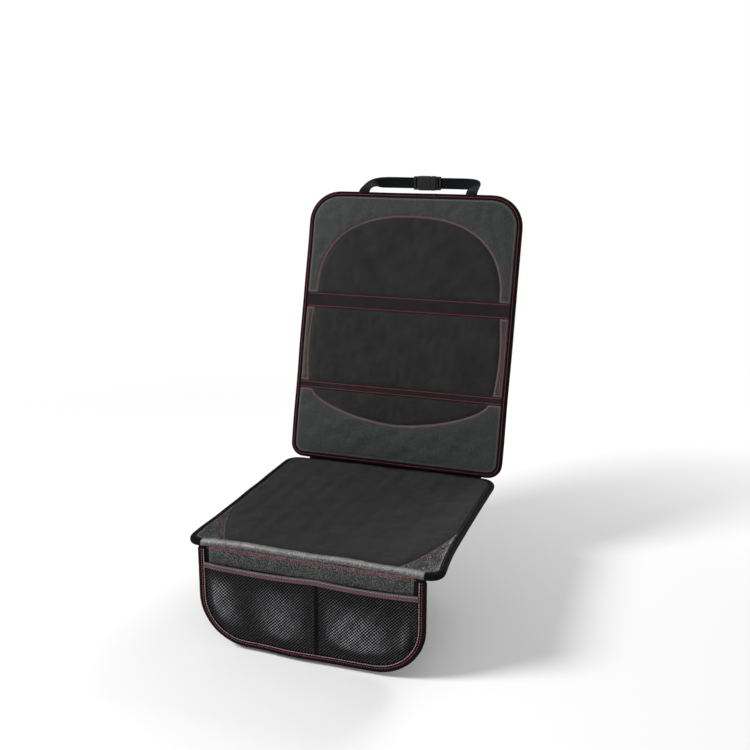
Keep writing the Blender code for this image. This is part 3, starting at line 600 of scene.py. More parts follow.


# colour of the painted highlight along the edges of the leatherette zones
edgeHighlightColor = (0.16, 0.16, 0.165)
thread = {"across": 0.0009, "along": 0.0004, "rough": 0.5, "depth": 0.0001, "specular": 0.4, "lint": 0.1}
finishLooks = {
    # the seat leatherette's pale mix colour is a painted highlight on the crest of the roll and along its
    # edges
    "leatherette": {
        "cells": 290, "mottle": 1.0, "dark": (0.003, 0.003, 0.004), "light": (0.094, 0.096, 0.099),
        "rough": 0.44, "depth": 0.0009, "patch": 11, "specular": 0.45, "lint": 0.1, "paintedHighlightAndPaleBack": 0.9,
        "paintedHighlightAndBackColor": (0.26, 0.26, 0.265)},
    "flapLeatherette": {
        "cells": 340, "mottle": 0.8, "dark": (0.004, 0.004, 0.005), "light": (0.070, 0.073, 0.072),
        "rough": 0.50, "depth": 0.0007, "patch": 11, "specular": 0.35, "lint": 0.1, "paintedHighlightAndPaleBack": 0.2,
        "paintedHighlightAndBackColor": edgeHighlightColor},
    "flapCloth": {
        "cells": 480, "dark": (0.002, 0.002, 0.0025), "light": (0.006, 0.006, 0.0065), "rough": 0.75,
        "depth": 0.0004, "specular": 0.08, "lint": 0.1, "paintedHighlightAndPaleBack": 0.8,
        "paintedHighlightAndBackColor": (0.030, 0.029, 0.031)},
    "backLeatherette": {
        "cells": 460, "mottle": 0.2, "dark": (0.013, 0.014, 0.014), "light": (0.037, 0.039, 0.039),
        "rough": 0.56, "depth": 0.0006, "patch": 9, "specular": 0.25, "lint": 0.06, "paintedHighlightAndPaleBack": 0.4,
        "paintedHighlightAndBackColor": edgeHighlightColor, "patchShare": 0.06},
    "paddingFabric": {
        "across": 0.0016, "along": 0.0016, "dark": (0.006, 0.006, 0.006), "light": (0.034, 0.032, 0.034),
        "rough": 0.85, "depth": 0.0006, "patch": 16, "specular": 0.15, "sheen": 0.05, "lint": 0.3,
        "patchShare": 0.35},
    "gripFabric": {
        "dots": 0.0065, "dark": (0.014, 0.014, 0.015), "light": (0.064, 0.063, 0.066), "rough": 0.78,
        "depth": 0.0005, "specular": 0.25, "lint": 0.12, "peakRough": -0.22},
    "bindingTape": {
        "across": 0.0013, "along": 0.0007, "dark": (0.0015, 0.0015, 0.0015), "light": (0.006, 0.006, 0.007),
        "rough": 0.85, "depth": 0.0003, "specular": 0.07, "lint": 0.15},
    "beltFabric": {
        "across": 0.0012, "along": 0.0008, "dark": (0.004, 0.003, 0.004), "light": (0.021, 0.017, 0.019),
        "rough": 0.8, "depth": 0.00025, "specular": 0.15, "lint": 0.4},
    "hemTape": {
        "across": 0.0012, "along": 0.0007, "dark": (0.032, 0.023, 0.026), "light": (0.136, 0.102, 0.112),
        "rough": 0.7, "depth": 0.0003, "specular": 0.3, "lint": 0.5},
    # the pale mix colour of the net is a painted highlight on its knots
    "pocketMesh": {
        "across": 0.0006, "along": 0.0006, "dark": (0.004, 0.004, 0.005), "light": (0.018, 0.018, 0.020),
        "rough": 0.40, "depth": 0.0001, "specular": 0.35, "lint": 0.1, "paintedHighlightAndPaleBack": 1.0,
        "paintedHighlightAndBackColor": (0.62, 0.62, 0.65)},
    "webbing": {
        "across": 0.0020, "along": 0.0010, "dark": (0.0015, 0.002, 0.0025), "light": (0.009, 0.012, 0.015),
        "rough": 0.75, "depth": 0.0004, "specular": 0.08, "lint": 0.1},
    "redThread": dict(thread, dark=(0.15, 0.009, 0.018), light=(0.44, 0.042, 0.062)),
    "paleThread": dict(thread, dark=(0.20, 0.14, 0.15), light=(0.50, 0.40, 0.42)),
    "darkThread": dict(thread, dark=(0.004, 0.004, 0.004), light=(0.016, 0.016, 0.017)),
    "plastic": {
        "cells": 1400, "dark": (0.007, 0.007, 0.008), "light": (0.014, 0.014, 0.015), "rough": 0.42,
        "depth": 0.00004, "specular": 0.4, "lint": 0.1, "onObject": True},
}
finish = {name: softFinish(name, looks) for name, looks in finishLooks.items()}
print("finishes made")

# seat: panel, padded centre, leatherette that rolls over the front edge, bound rim

tape = {"lap": 0.0015, "bindingWidth": 0.0115}
panelLow, panelHigh = nodeSpan("seat_panel", seatPlace)
padSpan = nodeSpan("seat_centre_pad", seatPlace)
seatFace = padSpan[0][2]  # cloth zones start here, just above the panel


def roundedBox(low, high, radii, spacing=0.004):
    # closed outline, counter-clockwise from the lower right corner; radii: lower and upper corners
    line = []
    for side, level, start in ((1, 0, -90), (1, 1, 0), (-1, 1, 90), (-1, 0, 180)):
        radius = radii[level]
        x = high[0] - radius if side > 0 else low[0] + radius
        y = high[1] - radius if level else low[1] + radius
        for step in range(13):
            angle = math.radians(start + 7.5 * step)
            line.append((x + radius * math.cos(angle), y + radius * math.sin(angle)))
    return resample(np.array(line), spacing, corner=60)


def pillow(away, looks):
    # height over the base: sewn rim, round shoulder, gentle crown
    shoulder = np.clip(away / looks["shoulder"], 0, 1)
    rise = (1 - (1 - shoulder) ** 2.4) * (looks["top"] - looks["rim"])
    return looks["rim"] + rise + looks["crown"] * smoothStep(away, 0, looks["crownReach"])


stitchStep = 0.006


def grooves(points, lines, looks):
    # rows of stitches pull the cloth down, deeper at each stitch
    total = np.zeros(len(points))
    for k, line in enumerate(lines):
        gap, along = lineDistance(points, line, closed=False)
        draw = np.random.default_rng(40 + k)
        knots = np.arange(0, along.max() + 2 * stitchStep, stitchStep)
        pull = np.interp(along, knots, draw.uniform(0.6, 1.3, len(knots)))
        total += looks["depth"] * pull * np.exp(-(gap / looks["width"]) ** 2)
    return total


def zonePiece(name, outline, base, panel, looks, cloth, nodes, seams=(), seed=1, shape=None):
    # a padded zone of the mat, drawn flat in its place, and rolled over an edge where it has a shape
    creases = clothCreases(name, outline, looks["cloth"], seed)

    def heightAt(points, away):
        height = base + pillow(away, looks) + creases(points)
        if len(seams):
            height -= grooves(points, seams, looks["groove"])
        wave = ripples(points[:, 0], points[:, 1], seed + 50, (0.05, 0.025), looks["wave"])
        return np.maximum(height + wave * smoothStep(away, 0, 0.02), base + 0.0002)

    def mapping(points):
        return toWorld(shape(points) if shape else points, panel)

    return coverPiece(name, outline, base, heightAt, mapping, looks, cloth, nodes)


zoneCloth = {
    "cell": 0.005, "wadding": 0.10, "reach": 0.012, "stiffness": 0.4, "slack": 0.05, "pressure": 1.2,
    "frames": 12, "cap": 0.0012}
zoneLooks = {"rim": 0.0004, "wave": 0.0006, "fill": 0.4, "groove": {"depth": 0.0009, "width": 0.0018}}
seatPadLooks = dict(
    zoneLooks, rim=0.0006, top=0.0040, shoulder=0.012, crown=0.0030, crownReach=0.16, wave=0.0008,
    spacing=0.0045, rings=(0.0015, 0.0035, 0.006, 0.009), fill=0.5, cloth=zoneCloth)
padOutline = nodeOutline("seat_centre_pad", seatPlace)
zonePiece(
    "seatPad", padOutline, seatFace, onSeat, seatPadLooks, ("paddingFabric", "padding_fabric"),
    ("seat_centre_pad",), seed=11)

rollLooks = dict(
    zoneLooks, radius=0.0063, middle=0.0072, lipEnd=0.0022, rim=0.0005, top=0.0020, shoulder=0.006,
    crown=0.0008, crownReach=0.03, wave=0.0005, spacing=0.0036, rings=(0.0012, 0.0028, 0.005),
    seamOffset=0.0095, groove={"depth": 0.0010, "width": 0.0020}, edgeHighlightShare=0.2,
    cloth=dict(zoneCloth, cell=0.0042, cap=0.0009))
facingLow, facingHigh = nodeSpan("front_facing", seatPlace)
rollY = facingLow[1] + 0.0075
rollZ = facingHigh[2] - 0.0075
rollArc = rollLooks["middle"] * math.pi / 2
lipEnd = rollY - rollArc - (rollZ - rollLooks["lipEnd"])
# painted highlight along the crest of the roll
rollLooks["worn"] = lambda flat: np.exp(-((flat[:, 1] - (rollY - 0.35 * rollArc)) / 0.0042) ** 2)


def rollOver(points):
    # flat leatherette goes over the front edge; the third value is the height above its base
    x, t, h = points.T
    x, t, h = points.T
    angle = np.clip((rollY - t) / rollLooks["middle"], 0, math.pi / 2)
    reach = rollLooks["radius"] + h - seatFace
    y = np.where(t > rollY, t, rollY - reach * np.sin(angle))
    z = np.where(t > rollY, h, rollZ + reach * np.cos(angle))
    down = np.clip(rollY - rollArc - t, 0, None)
    return np.column_stack([x, y, z - down])


def leatherOutline():
    wedge = nodeOutline("seat_wedge_right", seatPlace)
    seam, *side = np.roll(wedge, -int(wedge[:, 0].argmin()), axis=0)
    half = facingHigh[0]
    right = [(half, lipEnd), (half, side[0][1] - 0.0005), *side, seam]
    return np.array(right + [(-x, y) for x, y in reversed(right)]), np.array(side)


leatherEdge, wedgeSide = leatherOutline()
seamLine = resample(wedgeSide[int(wedgeSide[:, 1].argmax()):], stitchStep, closed=False)
seamOffset = inwardNormals(seamLine, closed=False) * rollLooks["seamOffset"]
wedgeRow = seamLine - seamOffset
if wedgeRow[:, 0].mean() < seamLine[:, 0].mean():
    wedgeRow = seamLine + seamOffset
wedgeRow = wedgeRow[wedgeRow[:, 0] < padSpan[1][0] - 0.003]
wedgeRows = [wedgeRow, wedgeRow * (-1, 1)]
seatLeather = zonePiece(
    "seatLeather", leatherEdge, seatFace, onSeat, rollLooks, ("leatherette", "leatherette"),
    ("seat_wedge_right", "seat_wedge_left", "front_facing"), wedgeRows, seed=12, shape=rollOver)

panelLooks = {"spacing": 0.007, "rings": (0.004, 0.0078, 0.0092, 0.0106, 0.0122, 0.015),
              "field": 0.0103, "swell": 0.0018, "fill": 0.9}


def panelPiece(name, panel, outline, thickness, node):
    # wadded slab; its rear field swells past the tape, its face lies hidden under the cloth zones
    field, most = panelLooks["field"], panelLooks["swell"]

    def heightAt(points, away):
        swell = smoothStep(away, field - 0.0025, field + 0.002) * most
        return np.full(len(points), thickness - most) + swell

    def mapping(points):
        return toWorld(np.column_stack([points[:, :2], thickness - points[:, 2]]), panel)

    cloth = ("gripFabric", "padding_fabric")
    return coverPiece(name, outline, 0.0, heightAt, mapping, panelLooks, cloth, (node,))


seatSize = {"radii": np.array((0.028, 0.035)), "bindingEnd": 0.003, "frontTrim": 0.0025}
panelFront = panelLow + (0, seatSize["frontTrim"], 0)  # room for the roll
panelEdge = roundedBox(panelFront, panelHigh, seatSize["radii"] - tape["lap"])
panelPiece("seatPanel", onSeat, panelEdge, panelHigh[2], "seat_panel")


def bindingSection(low, high, width, looks):
    # tape round an edge: x runs in from the outer edge, y is the height; dips where the stitches pull
    middle, half = (low + high) / 2, (high - low) / 2
    nose = min(looks["nose"], width / 2)
    spots = []
    for x in np.linspace(width, nose, looks["steps"] + 1):
        dip = looks["pull"] * math.exp(-((x - (width - looks["stitchIn"])) / 0.0016) ** 2)
        plump = looks["plump"] * math.sin(math.pi * np.clip((width - x) / (width - nose), 0, 1)) ** 0.7
        spots.append((x, half - dip + plump))
    for step in range(1, 6):
        angle = math.pi / 2 * step / 6
        spots.append((nose * (1 - math.sin(angle)), half * math.cos(angle) ** 0.8))
    outer = [(x, middle + y) for x, y in spots] + [(0.0, middle)]
    outer += [(x, middle - y) for x, y in reversed(spots)]
    edge = looks["thickness"]
    inner = []
    for x, y in outer:
        side = 1 if y > middle else -1 if y < middle else 0
        inward = y - side * min(edge, abs(y - middle) * 0.5)
        inner.append((max(x, edge * 0.9) if side else edge, inward))
    return np.array(outer + inner[::-1])


def bandFaces(count, size, closed=False):
    # faces between the sections of a tube, capped at its ends
    faces = []
    for i in range(count if closed else count - 1):
        here, ahead = i * size, (i + 1) % count * size
        for k in range(size):
            n = (k + 1) % size
            faces.append((here + k, here + n, ahead + n, ahead + k))
    if not closed:
        faces += [tuple(range(size)), tuple(reversed(range((count - 1) * size, count * size)))]
    return faces


def sweepTape(name, line, section, closed, panel, looks, node):
    # the section is carried along the line; its height wavers a little, as sewn tape does
    normals = inwardNormals(line, closed)
    waver = np.random.default_rng(looks["seed"]).normal(0, 1, len(line))
    waver = (np.roll(waver, 1) + 2 * waver + np.roll(waver, -1)) / 4 * looks["waver"]
    middle = (section[:, 1].max() + section[:, 1].min()) / 2
    reach, girth = reachOf(line), reachOf(section)
    points, uv = [], []
    for i in range(len(line)):
        for k, (x, y) in enumerate(section):
            spot = line[i] + normals[i] * x
            lift = waver[i] * (1 if y > middle else -0.3) * (1 - math.exp(-x / 0.004))
            points.append((spot[0], spot[1], y + lift))
            uv.append((girth[k], reach[i]))
    faces = bandFaces(len(line), len(section), closed)
    cloth = ("bindingTape", "binding_tape")
    return makePiece(name, toWorld(np.array(points), panel), faces, cloth, (node,), uv)


seatTape = {"nose": 0.0065, "steps": 7, "pull": 0.0006, "plump": 0.0007, "stitchIn": 0.0026,
            "thickness": 0.0012, "waver": 0.00018, "seed": 21}
bindLow, bindHigh = nodeSpan("seat_binding", seatPlace)
seatRim = roundedBox(bindLow, bindHigh, seatSize["radii"], 0.0035)
frontEnd = bindHigh[0] - seatSize["radii"][0]
start = int(np.argmin(np.hypot(seatRim[:, 0] - frontEnd, seatRim[:, 1] - bindLow[1])))
seatRim = np.roll(seatRim, -start, axis=0)
frontRun = (seatRim[:, 1] < bindLow[1] + 1e-4) & (abs(seatRim[:, 0]) < frontEnd - 1e-3)
seatRim = seatRim[~frontRun]
tapeEnd = np.array((seatSize["bindingEnd"], 0))
seatRim = np.vstack([seatRim[0] - tapeEnd, seatRim, seatRim[-1] + tapeEnd])
seatSection = bindingSection(bindLow[2], bindHigh[2], tape["bindingWidth"], seatTape)
seatBinding = sweepTape("seatBinding", seatRim, seatSection, False, onSeat, seatTape, "seat_binding")
print("seat made")

# front flap: base cloth, leatherette band, bound rim, mesh pockets, hem and divider

flapSize = {"radius": 0.095, "bindingWidth": 0.0155, "bandInset": 0.0225, "bandTop": -0.0015,
            "tuck": 0.0045}
flapSpan = nodeSpan("front_flap", flapPlace)
flapTape = {"nose": 0.0032, "steps": 8, "pull": 0.0005, "plump": 0.0004, "stitchIn": 0.0075,
            "thickness": 0.0012, "waver": 0.00015, "seed": 22}
tapeSpan = nodeSpan("flap_binding", flapPlace)
hemSpan = nodeSpan("pocket_hem", flapPlace)
dividerSpan = nodeSpan("pocket_divider", flapPlace)
dividerX = (dividerSpan[0][0] + dividerSpan[1][0]) / 2
pocketTop = hemSpan[0][1]


def flapEdge(inset, top, spacing=0.0035):
    # down the left side, along the bottom, up the right side
    half, low = tapeSpan[1][0] - inset, tapeSpan[0][1] + inset
    radius = flapSize["radius"] - inset
    line = [(-half, top)]
    for step in range(25):
        angle = math.radians(180 + 90 * step / 24)
        line.append((-half + radius + radius * math.cos(angle), low + radius + radius * math.sin(angle)))
    line += [(-x, y) for x, y in reversed(line)]
    return resample(np.array(line), spacing, closed=False)


clothLooks = {"face": 0.0023, "thickness": 0.0021, "spacing": 0.008,
              "cloth": dict(zoneCloth, cell=0.009, cap=0.0004)}


def makeFlapCloth():
    # one thin sheet; the back of the cloth is paler than its face
    outline = flapEdge(tape["lap"], flapSpan[1][1] + flapSize["tuck"])
    creases = clothCreases("flapCloth", outline, clothLooks["cloth"], 31)
    edge = resample(outline, clothLooks["spacing"] * 0.75)
    flat, front = flatMesh(edge, clothLooks["spacing"])
    height = clothLooks["face"] + creases(flat)
    count, rim = len(flat), len(edge)
    points = np.vstack([np.column_stack([flat, h]) for h in (height, height - clothLooks["thickness"])])
    faces = front + [tuple(count + i for i in reversed(f)) for f in front]
    faces += [(i, count + i, count + (i + 1) % rim, (i + 1) % rim) for i in range(rim)]
    return makePiece(
        "flapCloth", toWorld(points, onFlap), faces, ("flapCloth", "leatherette"), ("front_flap",),
        points[:, :2], paintedHighlightAndPaleBack=np.repeat((0.0, 1.0), count))


flapCloth = makeFlapCloth()

bandLooks = dict(
    zoneLooks, top=0.0020, shoulder=0.005, crown=0.0016, crownReach=0.016, spacing=0.0036,
    rings=(0.0012, 0.0028, 0.005), groove={"depth": 0.0010, "width": 0.0018},
    cloth=dict(zoneCloth, cell=0.0042, cap=0.0012, slack=0.06))
bandHalf = tapeSpan[1][0] - flapSize["bandInset"]
bandLow = hemSpan[1][1] - 0.0035
bandHigh = -flapSize["bandTop"]
lipRows = [
    np.array([(side * (bandHalf + 0.004), level) for side in (-1, 1)]) for level in (-0.0008, -0.0046)]
bandOutline = resample([
    (-bandHalf, bandLow), (bandHalf, bandLow), (bandHalf, bandHigh), (-bandHalf, bandHigh)], 0.003)
flapBand = zonePiece(
    "flapLeather", bandOutline, 0.0024, onFlap, bandLooks, ("flapLeatherette", "leatherette"), (), lipRows,
    seed=32)

flapRim = flapEdge(0, tapeSpan[1][1])
flapSection = bindingSection(tapeSpan[0][2], tapeSpan[1][2] + 0.0006, flapSize["bindingWidth"], flapTape)
flapBinding = sweepTape("flapBinding", flapRim, flapSection, False, onFlap, flapTape, "flap_binding")

pocketLooks = {
    "cell": 0.0060, "strand": 0.0010, "hole": 0.71, "knot": 0.0004, "under": 0.0045, "sag": 0.0032,
    "slack": 0.0022, "mouth": 0.22, "gather": 0.026, "rise": 0.034, "wrinkle": 0.0007, "end": 0.2,
    # bulges of the slack mesh: middle x and height, half widths, lean of the top, how far it stands out
    "bulges": ((-0.170, -0.090, 0.024, 0.055, 0.22, 0.0115), (-0.052, -0.122, 0.038, 0.060, 0.16, 0.0085),
               (0.096, -0.126, 0.050, 0.044, 0.20, 0.0135), (0.184, -0.120, 0.012, 0.050, -0.05, 0.0060),
               (0.010, -0.070, 0.030, 0.025, 0.0, 0.0030)),
}


def pocketLift(x, y):
    # how far the pocket stands off the flap, in metres
    rim = flapSize["bindingWidth"]
    half, low, radius = tapeSpan[1][0] - rim, tapeSpan[0][1] + rim, flapSize["radius"] - rim
    beyond = np.clip(abs(x) - (half - radius), 0, radius)
    bottom = low + radius - np.sqrt(radius ** 2 - beyond ** 2)
    left = np.where(x < dividerX, -half, dividerX + 0.003)
    right = np.where(x < dividerX, dividerX - 0.003, half)
    gather = pocketLooks["gather"]
    held = smoothStep(x - left, 0, gather) * smoothStep(right - x, 0, gather)
    held = held * smoothStep(y - bottom, 0, pocketLooks["rise"])
    mouth = 1 - (1 - pocketLooks["mouth"]) * smoothStep(y, -0.075, pocketTop)
    lift = np.full_like(x, pocketLooks["slack"])
    for middle, level, wide, tall, lean, height in pocketLooks["bulges"]:
        across = x - middle + lean * (y - level)
        lift = lift + height * np.exp(-(across / wide) ** 2 - ((y - level) / tall) ** 2)
    wrinkle = pocketLooks["wrinkle"] * np.sin(95 * (x + 0.5 * y)) * np.sin(40 * y + 3)
    return np.maximum(lift + wrinkle, 0) * held * mouth


def mouthSag(x):
    # the pocket's mouth dips between its ends
    end = pocketLooks["end"]
    share = np.where(x < dividerX, (x + end) / (dividerX + end), (x - dividerX) / (end - dividerX))
    return pocketLooks["sag"] * np.sin(math.pi * np.clip(share, 0, 1))


def netPiece(side):
    # knitted net: every diamond is a ring of strand round a hole, thick along its middle
    outline = pocketOutline(side)
    cell, strand, knot = pocketLooks["cell"], pocketLooks["strand"], pocketLooks["knot"]
    half = cell / 2
    low, high = outline.min(0), outline.max(0)
    columns, rows = ((high - low) / half).astype(int) + 2
    centres = np.array([
        (low[0] + i * half, low[1] + j * half) for j in range(rows) for i in range(columns) if (i + j) % 2])
    centres = centres[inside(centres, outline)]
    points, glints, faces, index = [], [], [], {}

    def vertex(key, x, y, height, glint=0.0):
        if key not in index:
            index[key] = len(points)
            points.append((x, y, height))
            glints.append(glint)
        return index[key]

    ring = [(half, 0), (half / 2, half / 2), (0, half), (-half / 2, half / 2)]
    ring += [(-x, -y) for x, y in ring]
    walls = {}
    for x, y in centres:
        tops, lows, rims = [], [], []
        for k, (dx, dy) in enumerate(ring):
            spot = (round((x + dx) * 4e5), round((y + dy) * 4e5))
            crossing = k % 2 == 0
            swing = knot if crossing else -knot * (1 if k in (1, 5) else -1) * 0.6
            top = swing + strand / 2 * (1.25 if crossing else 1)
            # crossings carry the full painted highlight, the tops between them a tenth of it
            tops.append(vertex(("top", spot), x + dx, y + dy, top, 1.0 if crossing else 0.1))
            lows.append(vertex(("low", spot), x + dx, y + dy, swing - strand / 2))
            share = pocketLooks["hole"] * (1 if crossing else 1.12)
            rims.append(vertex((x, y, k), x + dx * share, y + dy * share, swing * 0.4))
        for k in range(8):
            n = (k + 1) % 8
            faces.append((rims[k], tops[k], tops[n], rims[n]))
            faces.append((rims[n], lows[n], lows[k], rims[k]))
            edge = frozenset((tops[k], tops[n]))
            walls[edge] = None if edge in walls else (tops[k], lows[k], lows[n], tops[n])
    faces += [wall for wall in walls.values() if wall]
    points = np.array(points)
    flat = points[:, :2].copy()
    lift = pocketLift(*flat.T)
    # the painted highlight dims where the net lies low against the flap, a painted shade in its folds, and
    # wavers at random
    uneven = np.clip(1 + 0.3 * ripples(*flat.T, 77, (0.03, 0.012), 0.6, 1), 0.5, 1.5)
    glints = np.array(glints) * (0.07 + 0.85 * smoothStep(lift, 0.0015, 0.0125)) * uneven
    slip = np.clip(edgeDistance(flat, outline) / 0.004, 0, 1)
    sag = mouthSag(flat[:, 0]) * smoothStep(flat[:, 1], -0.12, pocketTop)
    points[:, 2] = 0.0027 + strand * 0.6 + points[:, 2] * (0.5 + 0.5 * slip) + lift
    points[:, 1] -= sag
    name = "pocketMesh" + side.title()
    piece = makePiece(
        name, toWorld(points, onFlap), faces, ("pocketMesh", "pocket_mesh"), ("pocket_mesh_" + side,),
        flat - low + half / 2, paintedHighlightAndPaleBack=glints)
    print(name, len(centres), "diamonds")


def pocketOutline(side):
    line = flapEdge(flapSize["bindingWidth"] - pocketLooks["under"], pocketTop + 0.003)
    out = -1 if side == "left" else 1
    seam = dividerX + 0.001 * out
    keep = line[(line[:, 0] - seam) * out > 0]
    ends = [(seam, pocketTop + 0.003), (seam, line[:, 1].min())]
    return counterClockwise(np.vstack([keep, ends[::-1]] if side == "left" else [ends, keep]))


def ribbon(name, line, ups, width, looks, settlePoints, cloth, node):
    # a flat tape: the line is its middle, ups its width direction; thicker near its rounded edges
    line, ups = np.asarray(line, float), np.asarray(ups, float)
    along = np.gradient(line, axis=0)
    along /= np.linalg.norm(along, axis=1)[:, None]
    ups = ups - (ups * along).sum(1)[:, None] * along
    ups /= np.linalg.norm(ups, axis=1)[:, None]
    out = np.cross(along, ups)
    profile = []
    for k in range(looks["columns"] + 1):
        side = -1 + 2 * k / looks["columns"]
        edge = smoothStep(abs(side), 0.78, 0.92) * (1 - smoothStep(abs(side), 0.95, 1.0))
        height = looks["thickness"] / 2 + looks.get("selvedge", 0) * edge
        profile.append((side * width / 2, height * (0.35 if abs(side) == 1 else 1)))
    section = profile + [(x, -y) for x, y in reversed(profile)]
    size, reach = len(section), reachOf(line)
    points, uv = [], []
    for i in range(len(line)):
        for k, (x, y) in enumerate(section):
            points.append(line[i] + ups[i] * x + out[i] * y)
            uv.append((x + (0.1 if k >= size // 2 else 0), reach[i]))
    return makePiece(name, settlePoints(np.array(points)), bandFaces(len(line), size), cloth, (node,), uv)


hemMiddle = (hemSpan[0][1] + hemSpan[1][1]) / 2
hemLooks = {"thickness": 0.0019, "columns": 12, "selvedge": 0.0003, "lift": 0.0058, "end": 0.2035,
            "tilt": 0.06}
x = np.concatenate([
    np.linspace(-hemLooks["end"], dividerX, 70), np.linspace(dividerX, hemLooks["end"], 64)[1:]])
hemPath = np.column_stack([
    x, hemMiddle - mouthSag(x), pocketLift(x, np.full_like(x, hemMiddle)) + hemLooks["lift"]])
hemUps = turnWith(np.tile((0, 1, hemLooks["tilt"]), (len(hemPath), 1)), flapPlace)
pocketHem = ribbon(
    "pocketHem", toWorld(hemPath, (flapPlace, stay)), hemUps, hemSpan[1][1] - hemSpan[0][1], hemLooks,
    settleFlap, ("hemTape", "hem_tape"), "pocket_hem")
dividerLooks = {"thickness": 0.0012, "columns": 4, "width": 0.0062, "rows": 40, "lift": 0.0048}
rows = dividerLooks["rows"]
dividerPath = np.column_stack([
    np.full(rows, dividerX),
    np.linspace(tapeSpan[0][1] + flapSize["bindingWidth"] - 0.003, pocketTop + 0.002, rows),
    np.full(rows, dividerLooks["lift"])])
ribbon(
    "pocketDivider", toWorld(dividerPath, (flapPlace, stay)), np.tile((1, 0, 0), (rows, 1)),
    dividerLooks["width"], dividerLooks, settleFlap, ("bindingTape", "binding_tape"), "pocket_divider")
netPiece("left")
netPiece("right")
print("flap made")

# back: panel, bound rim, leatherette zones, padded zones, belts

backRadii = np.array((0.030, 0.070))
backPanelLow, backPanelHigh = nodeSpan("back_panel", backPlace)
backBindLow, backBindHigh = nodeSpan("back_binding", backPlace)
backFaceHeight = nodeSpan("back_yoke", backPlace)[0][2]
backEdge = roundedBox(backPanelLow, backPanelHigh, backRadii - tape["lap"])
panelPiece("backPanel", onBack, backEdge, backPanelHigh[2], "back_panel")
backTape = dict(seatTape, nose=0.0050, stitchIn=0.0046, seed=23)
backRim = roundedBox(backBindLow, backBindHigh, backRadii, 0.0035)
backSection = bindingSection(backBindLow[2], backBindHigh[2], tape["bindingWidth"], backTape)
backBinding = sweepTape("backBinding", backRim, backSection, True, onBack, backTape, "back_binding")

accentLooks = dict(
    zoneLooks, top=0.0024, shoulder=0.007, crown=0.0006, crownReach=0.03, spacing=0.0045,
    rings=(0.0012, 0.003, 0.0055), cloth=dict(zoneCloth, cap=0.0009, slack=0.035))
padLooks = dict(
    zoneLooks, rim=0.0005, top=0.0042, shoulder=0.012, crown=0.0024, crownReach=0.09, wave=0.0007,
    spacing=0.0050, rings=(0.0015, 0.0035, 0.006, 0.009), fill=0.5, cloth=zoneCloth)
rowInset = 0.0030  # rows of stitches run this far inside the edge of a zone


def rowInside(zone, test):
    # the part of the zone's row that passes the test, in order
    edge = resample(backOutlines[zone], stitchStep)
    ring = edge + inwardNormals(edge) * rowInset
    good = edgeDistance(ring, edge) > rowInset * 0.9
    keep = np.array([g and bool(test(x, y)) for g, (x, y) in zip(good, ring)])
    start = next(i for i in range(len(keep)) if keep[i] and not keep[i - 1])
    return [np.roll(ring, -start, axis=0)[np.roll(keep, -start)]]


accent = (accentLooks, ("backLeatherette", "leatherette"))
padded = (padLooks, ("paddingFabric", "padding_fabric"))
backZones = {
    "backYoke": ("back_yoke", *accent), "backPadUpper": ("back_pad_upper", *padded),
    "backSideRight": ("back_side_right", *accent), "backSideLeft": ("back_side_left", *accent),
    "backPadMiddle": ("back_pad_middle", *padded), "backLowerPanel": ("back_lower_panel", *accent),
    "backPadLower": ("back_pad_lower", *padded),
}
backOutlines = {name: nodeOutline(zone[0], backPlace) for name, zone in backZones.items()}
archSide, archTop = backOutlines["backPadUpper"].max(axis=0) + 0.0045
sideX = backOutlines["backYoke"][:, 0].max() - 0.006
backRows = {
    "backYoke": rowInside("backYoke", lambda x, y: abs(x) < archSide and y < archTop),
    "backSideRight": rowInside("backSideRight", lambda x, y: x < sideX),
    "backSideLeft": rowInside("backSideLeft", lambda x, y: x > -sideX),
    "backLowerPanel": rowInside("backLowerPanel", lambda x, y: y > 0.085 and abs(x) < sideX),
}
backPieces = {}
for number, (name, (node, looks, cloth)) in enumerate(backZones.items()):
    backPieces[name] = zonePiece(
        name, backOutlines[name], backFaceHeight, onBack, looks, cloth, (node,), backRows.get(name, ()),
        seed=60 + number)

beltLooks = {"thickness": 0.0018, "columns": 8, "selvedge": 0.0003, "stations": 90, "rowInset": 0.002}
beltRows = []
for name, node in (("backBeltLower", "back_belt_lower"), ("backBeltUpper", "back_belt_upper")):
    low, high = nodeSpan(node, backPlace)
    count = beltLooks["stations"]
    x = np.linspace(low[0], high[0], count)
    lift = 0.0007 + 0.0010 * np.sin(math.pi * (x - low[0]) / (high[0] - low[0])) ** 0.5
    lift += ripples(x, x * 0, 71, (0.07, 0.03), 0.0006)
    path = np.column_stack([x, np.full(count, (low[1] + high[1]) / 2), low[2] + lift])
    backPieces[name] = ribbon(
        name, toWorld(path, (backPlace, stay)), turnWith(np.tile((0, 1, 0), (count, 1)), backPlace),
        high[1] - low[1] + 0.0012, beltLooks, settleBack, ("beltFabric", "binding_tape"), node)
    low, high = low + beltLooks["rowInset"], high - beltLooks["rowInset"]
    beltRows += [[(low[0], y), (high[0], y)] for y in (low[1], high[1])]
print("back made")

# straps, joining strip and tabs follow the centrelines of their solids


